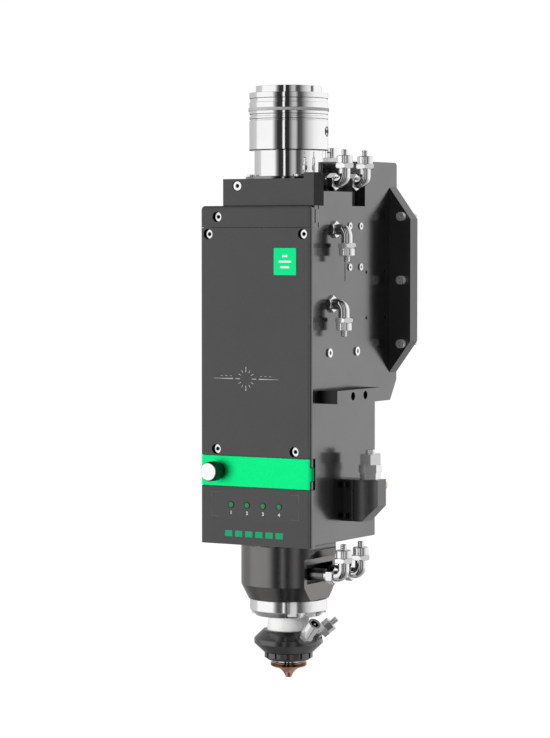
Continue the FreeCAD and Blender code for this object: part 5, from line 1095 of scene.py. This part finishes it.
def brightness(angle, stops):
    """Grey level at an angle in radians, from stops that span a whole or half turn."""
    span = stops[-1][0] - stops[0][0]
    share = math_node(studio, "DIVIDE", angle, math.radians(span))
    node = studio.nodes.new("ShaderNodeValToRGB")
    studio.links.new(math_node(studio, "ADD", share, 0.5), node.inputs[0])
    ramp = node.color_ramp
    ramp.elements[0].position = 0.0
    ramp.elements[1].position = 1.0
    for degrees, level in stops[1:-1]:
        ramp.elements.new(degrees / span + 0.5)
    for element, (degrees, level) in zip(ramp.elements, stops):
        element.color = (level, level, level, 1)
    return node.outputs[0]


def either(factor, first, second):
    """The second shader where the factor is 1, else the first."""
    node = studio.nodes.new("ShaderNodeMixShader")
    studio.links.new(factor, node.inputs[0])
    studio.links.new(first, node.inputs[1])
    studio.links.new(second, node.inputs[2])
    return node.outputs[0]


to_right = run_along((math.cos(CAMERA_AZIMUTH), math.sin(CAMERA_AZIMUTH), 0))
to_front = run_along((math.sin(CAMERA_AZIMUTH), -math.cos(CAMERA_AZIMUTH), 0))
around = brightness(math_node(studio, "ARCTAN2", to_right, to_front), STUDIO)
upward = brightness(math_node(studio, "ARCSINE", run_along((0, 0, 1))), HEIGHTS)

rays = studio.nodes.new("ShaderNodeLightPath")
mirrored = studio.nodes.new("ShaderNodeBackground")
studio.links.new(scaled_colour(studio, around, upward), mirrored.inputs["Color"])
soft = studio.nodes.new("ShaderNodeBackground")
soft.inputs["Color"].default_value = WHITE
soft.inputs["Strength"].default_value = SOFT_STRENGTH
paper = studio.nodes.new("ShaderNodeBackground")
paper.inputs["Color"].default_value = WHITE
room = either(rays.outputs["Is Glossy Ray"], soft.outputs[0], mirrored.outputs[0])
seen_room = either(rays.outputs["Is Camera Ray"], room, paper.outputs[0])
studio.links.new(seen_room, output.inputs[0])

# Pale floor that only the camera sees: it shows the paper's white and keeps the shadow.
FLOOR_HALF = 6.0
FLOOR_DOWN = 0.0005
FLOOR_GREY, FLOOR_GLOW = 0.2, 0.975
floor = bpy.data.objects.new("Floor", bpy.data.meshes.new("Floor"))
square = [(-1, -1), (1, -1), (1, 1), (-1, 1)]
floor_corners = [(x * FLOOR_HALF, y * FLOOR_HALF, -FLOOR_DOWN) for x, y in square]
floor.data.from_pydata(floor_corners, [], [(0, 1, 2, 3)])
floor.visible_glossy = False
floor.visible_diffuse = False
floor.visible_shadow = False
floor.visible_transmission = False
bpy.context.scene.collection.objects.link(floor)
paper_floor, tree, shader = new_finish("Paper floor")
shader.inputs["Roughness"].default_value = 1.0
shader.inputs["IOR"].default_value = 1.0
fibres = spread(tree, noise(tree, 400.0), 0.98, 1.02)
tint = tree.nodes.new("ShaderNodeRGB")
tint.outputs[0].default_value = (FLOOR_GREY, FLOOR_GREY, FLOOR_GREY, 1)
tree.links.new(scaled_colour(tree, tint.outputs[0], fibres), shader.inputs["Base Color"])
shader.inputs["Emission Color"].default_value = WHITE
seen = tree.nodes.new("ShaderNodeLightPath")
glow = math_node(tree, "MULTIPLY", seen.outputs["Is Camera Ray"], FLOOR_GLOW)
tree.links.new(glow, shader.inputs["Emission Strength"])
facing_side = tree.nodes.new("ShaderNodeNewGeometry")
solid_above = math_node(tree, "SUBTRACT", 1.0, facing_side.outputs["Backfacing"])
tree.links.new(solid_above, shader.inputs["Alpha"])
floor.data.materials.append(paper_floor)

LAMP_TARGET = Vector((0, 0, 0.25))
LAMP_SIZE = 1.2
# Name, place and power of each lamp.
LAMP_LIST = [("Lamp from the front", (-0.7, -2.0, 0.1), 50), ("Lamp from the right", (2.0, 0.2, 1.0), 8)]
for name, stand, power in LAMP_LIST:
    lamp = bpy.data.lights.new(name, "AREA")
    lamp.size = LAMP_SIZE
    lamp.energy = power
    item = bpy.data.objects.new(name, lamp)
    bpy.context.scene.collection.objects.link(item)
    item.location = stand
    item.rotation_euler = (LAMP_TARGET - Vector(stand)).to_track_quat("-Z", "Y").to_euler()
    item.visible_glossy = False

camera_data = bpy.data.cameras.new("Camera")
camera_data.lens = LENS
camera_data.sensor_width = SENSOR_W
camera_data.clip_start = 0.05
camera = bpy.data.objects.new("Camera", camera_data)
bpy.context.scene.collection.objects.link(camera)
camera.location = CAMERA_PLACE
camera.rotation_euler = (math.radians(90) - CAMERA_PITCH, 0, CAMERA_AZIMUTH)
bpy.context.scene.camera = camera
bpy.context.scene.view_settings.view_transform = "Standard"
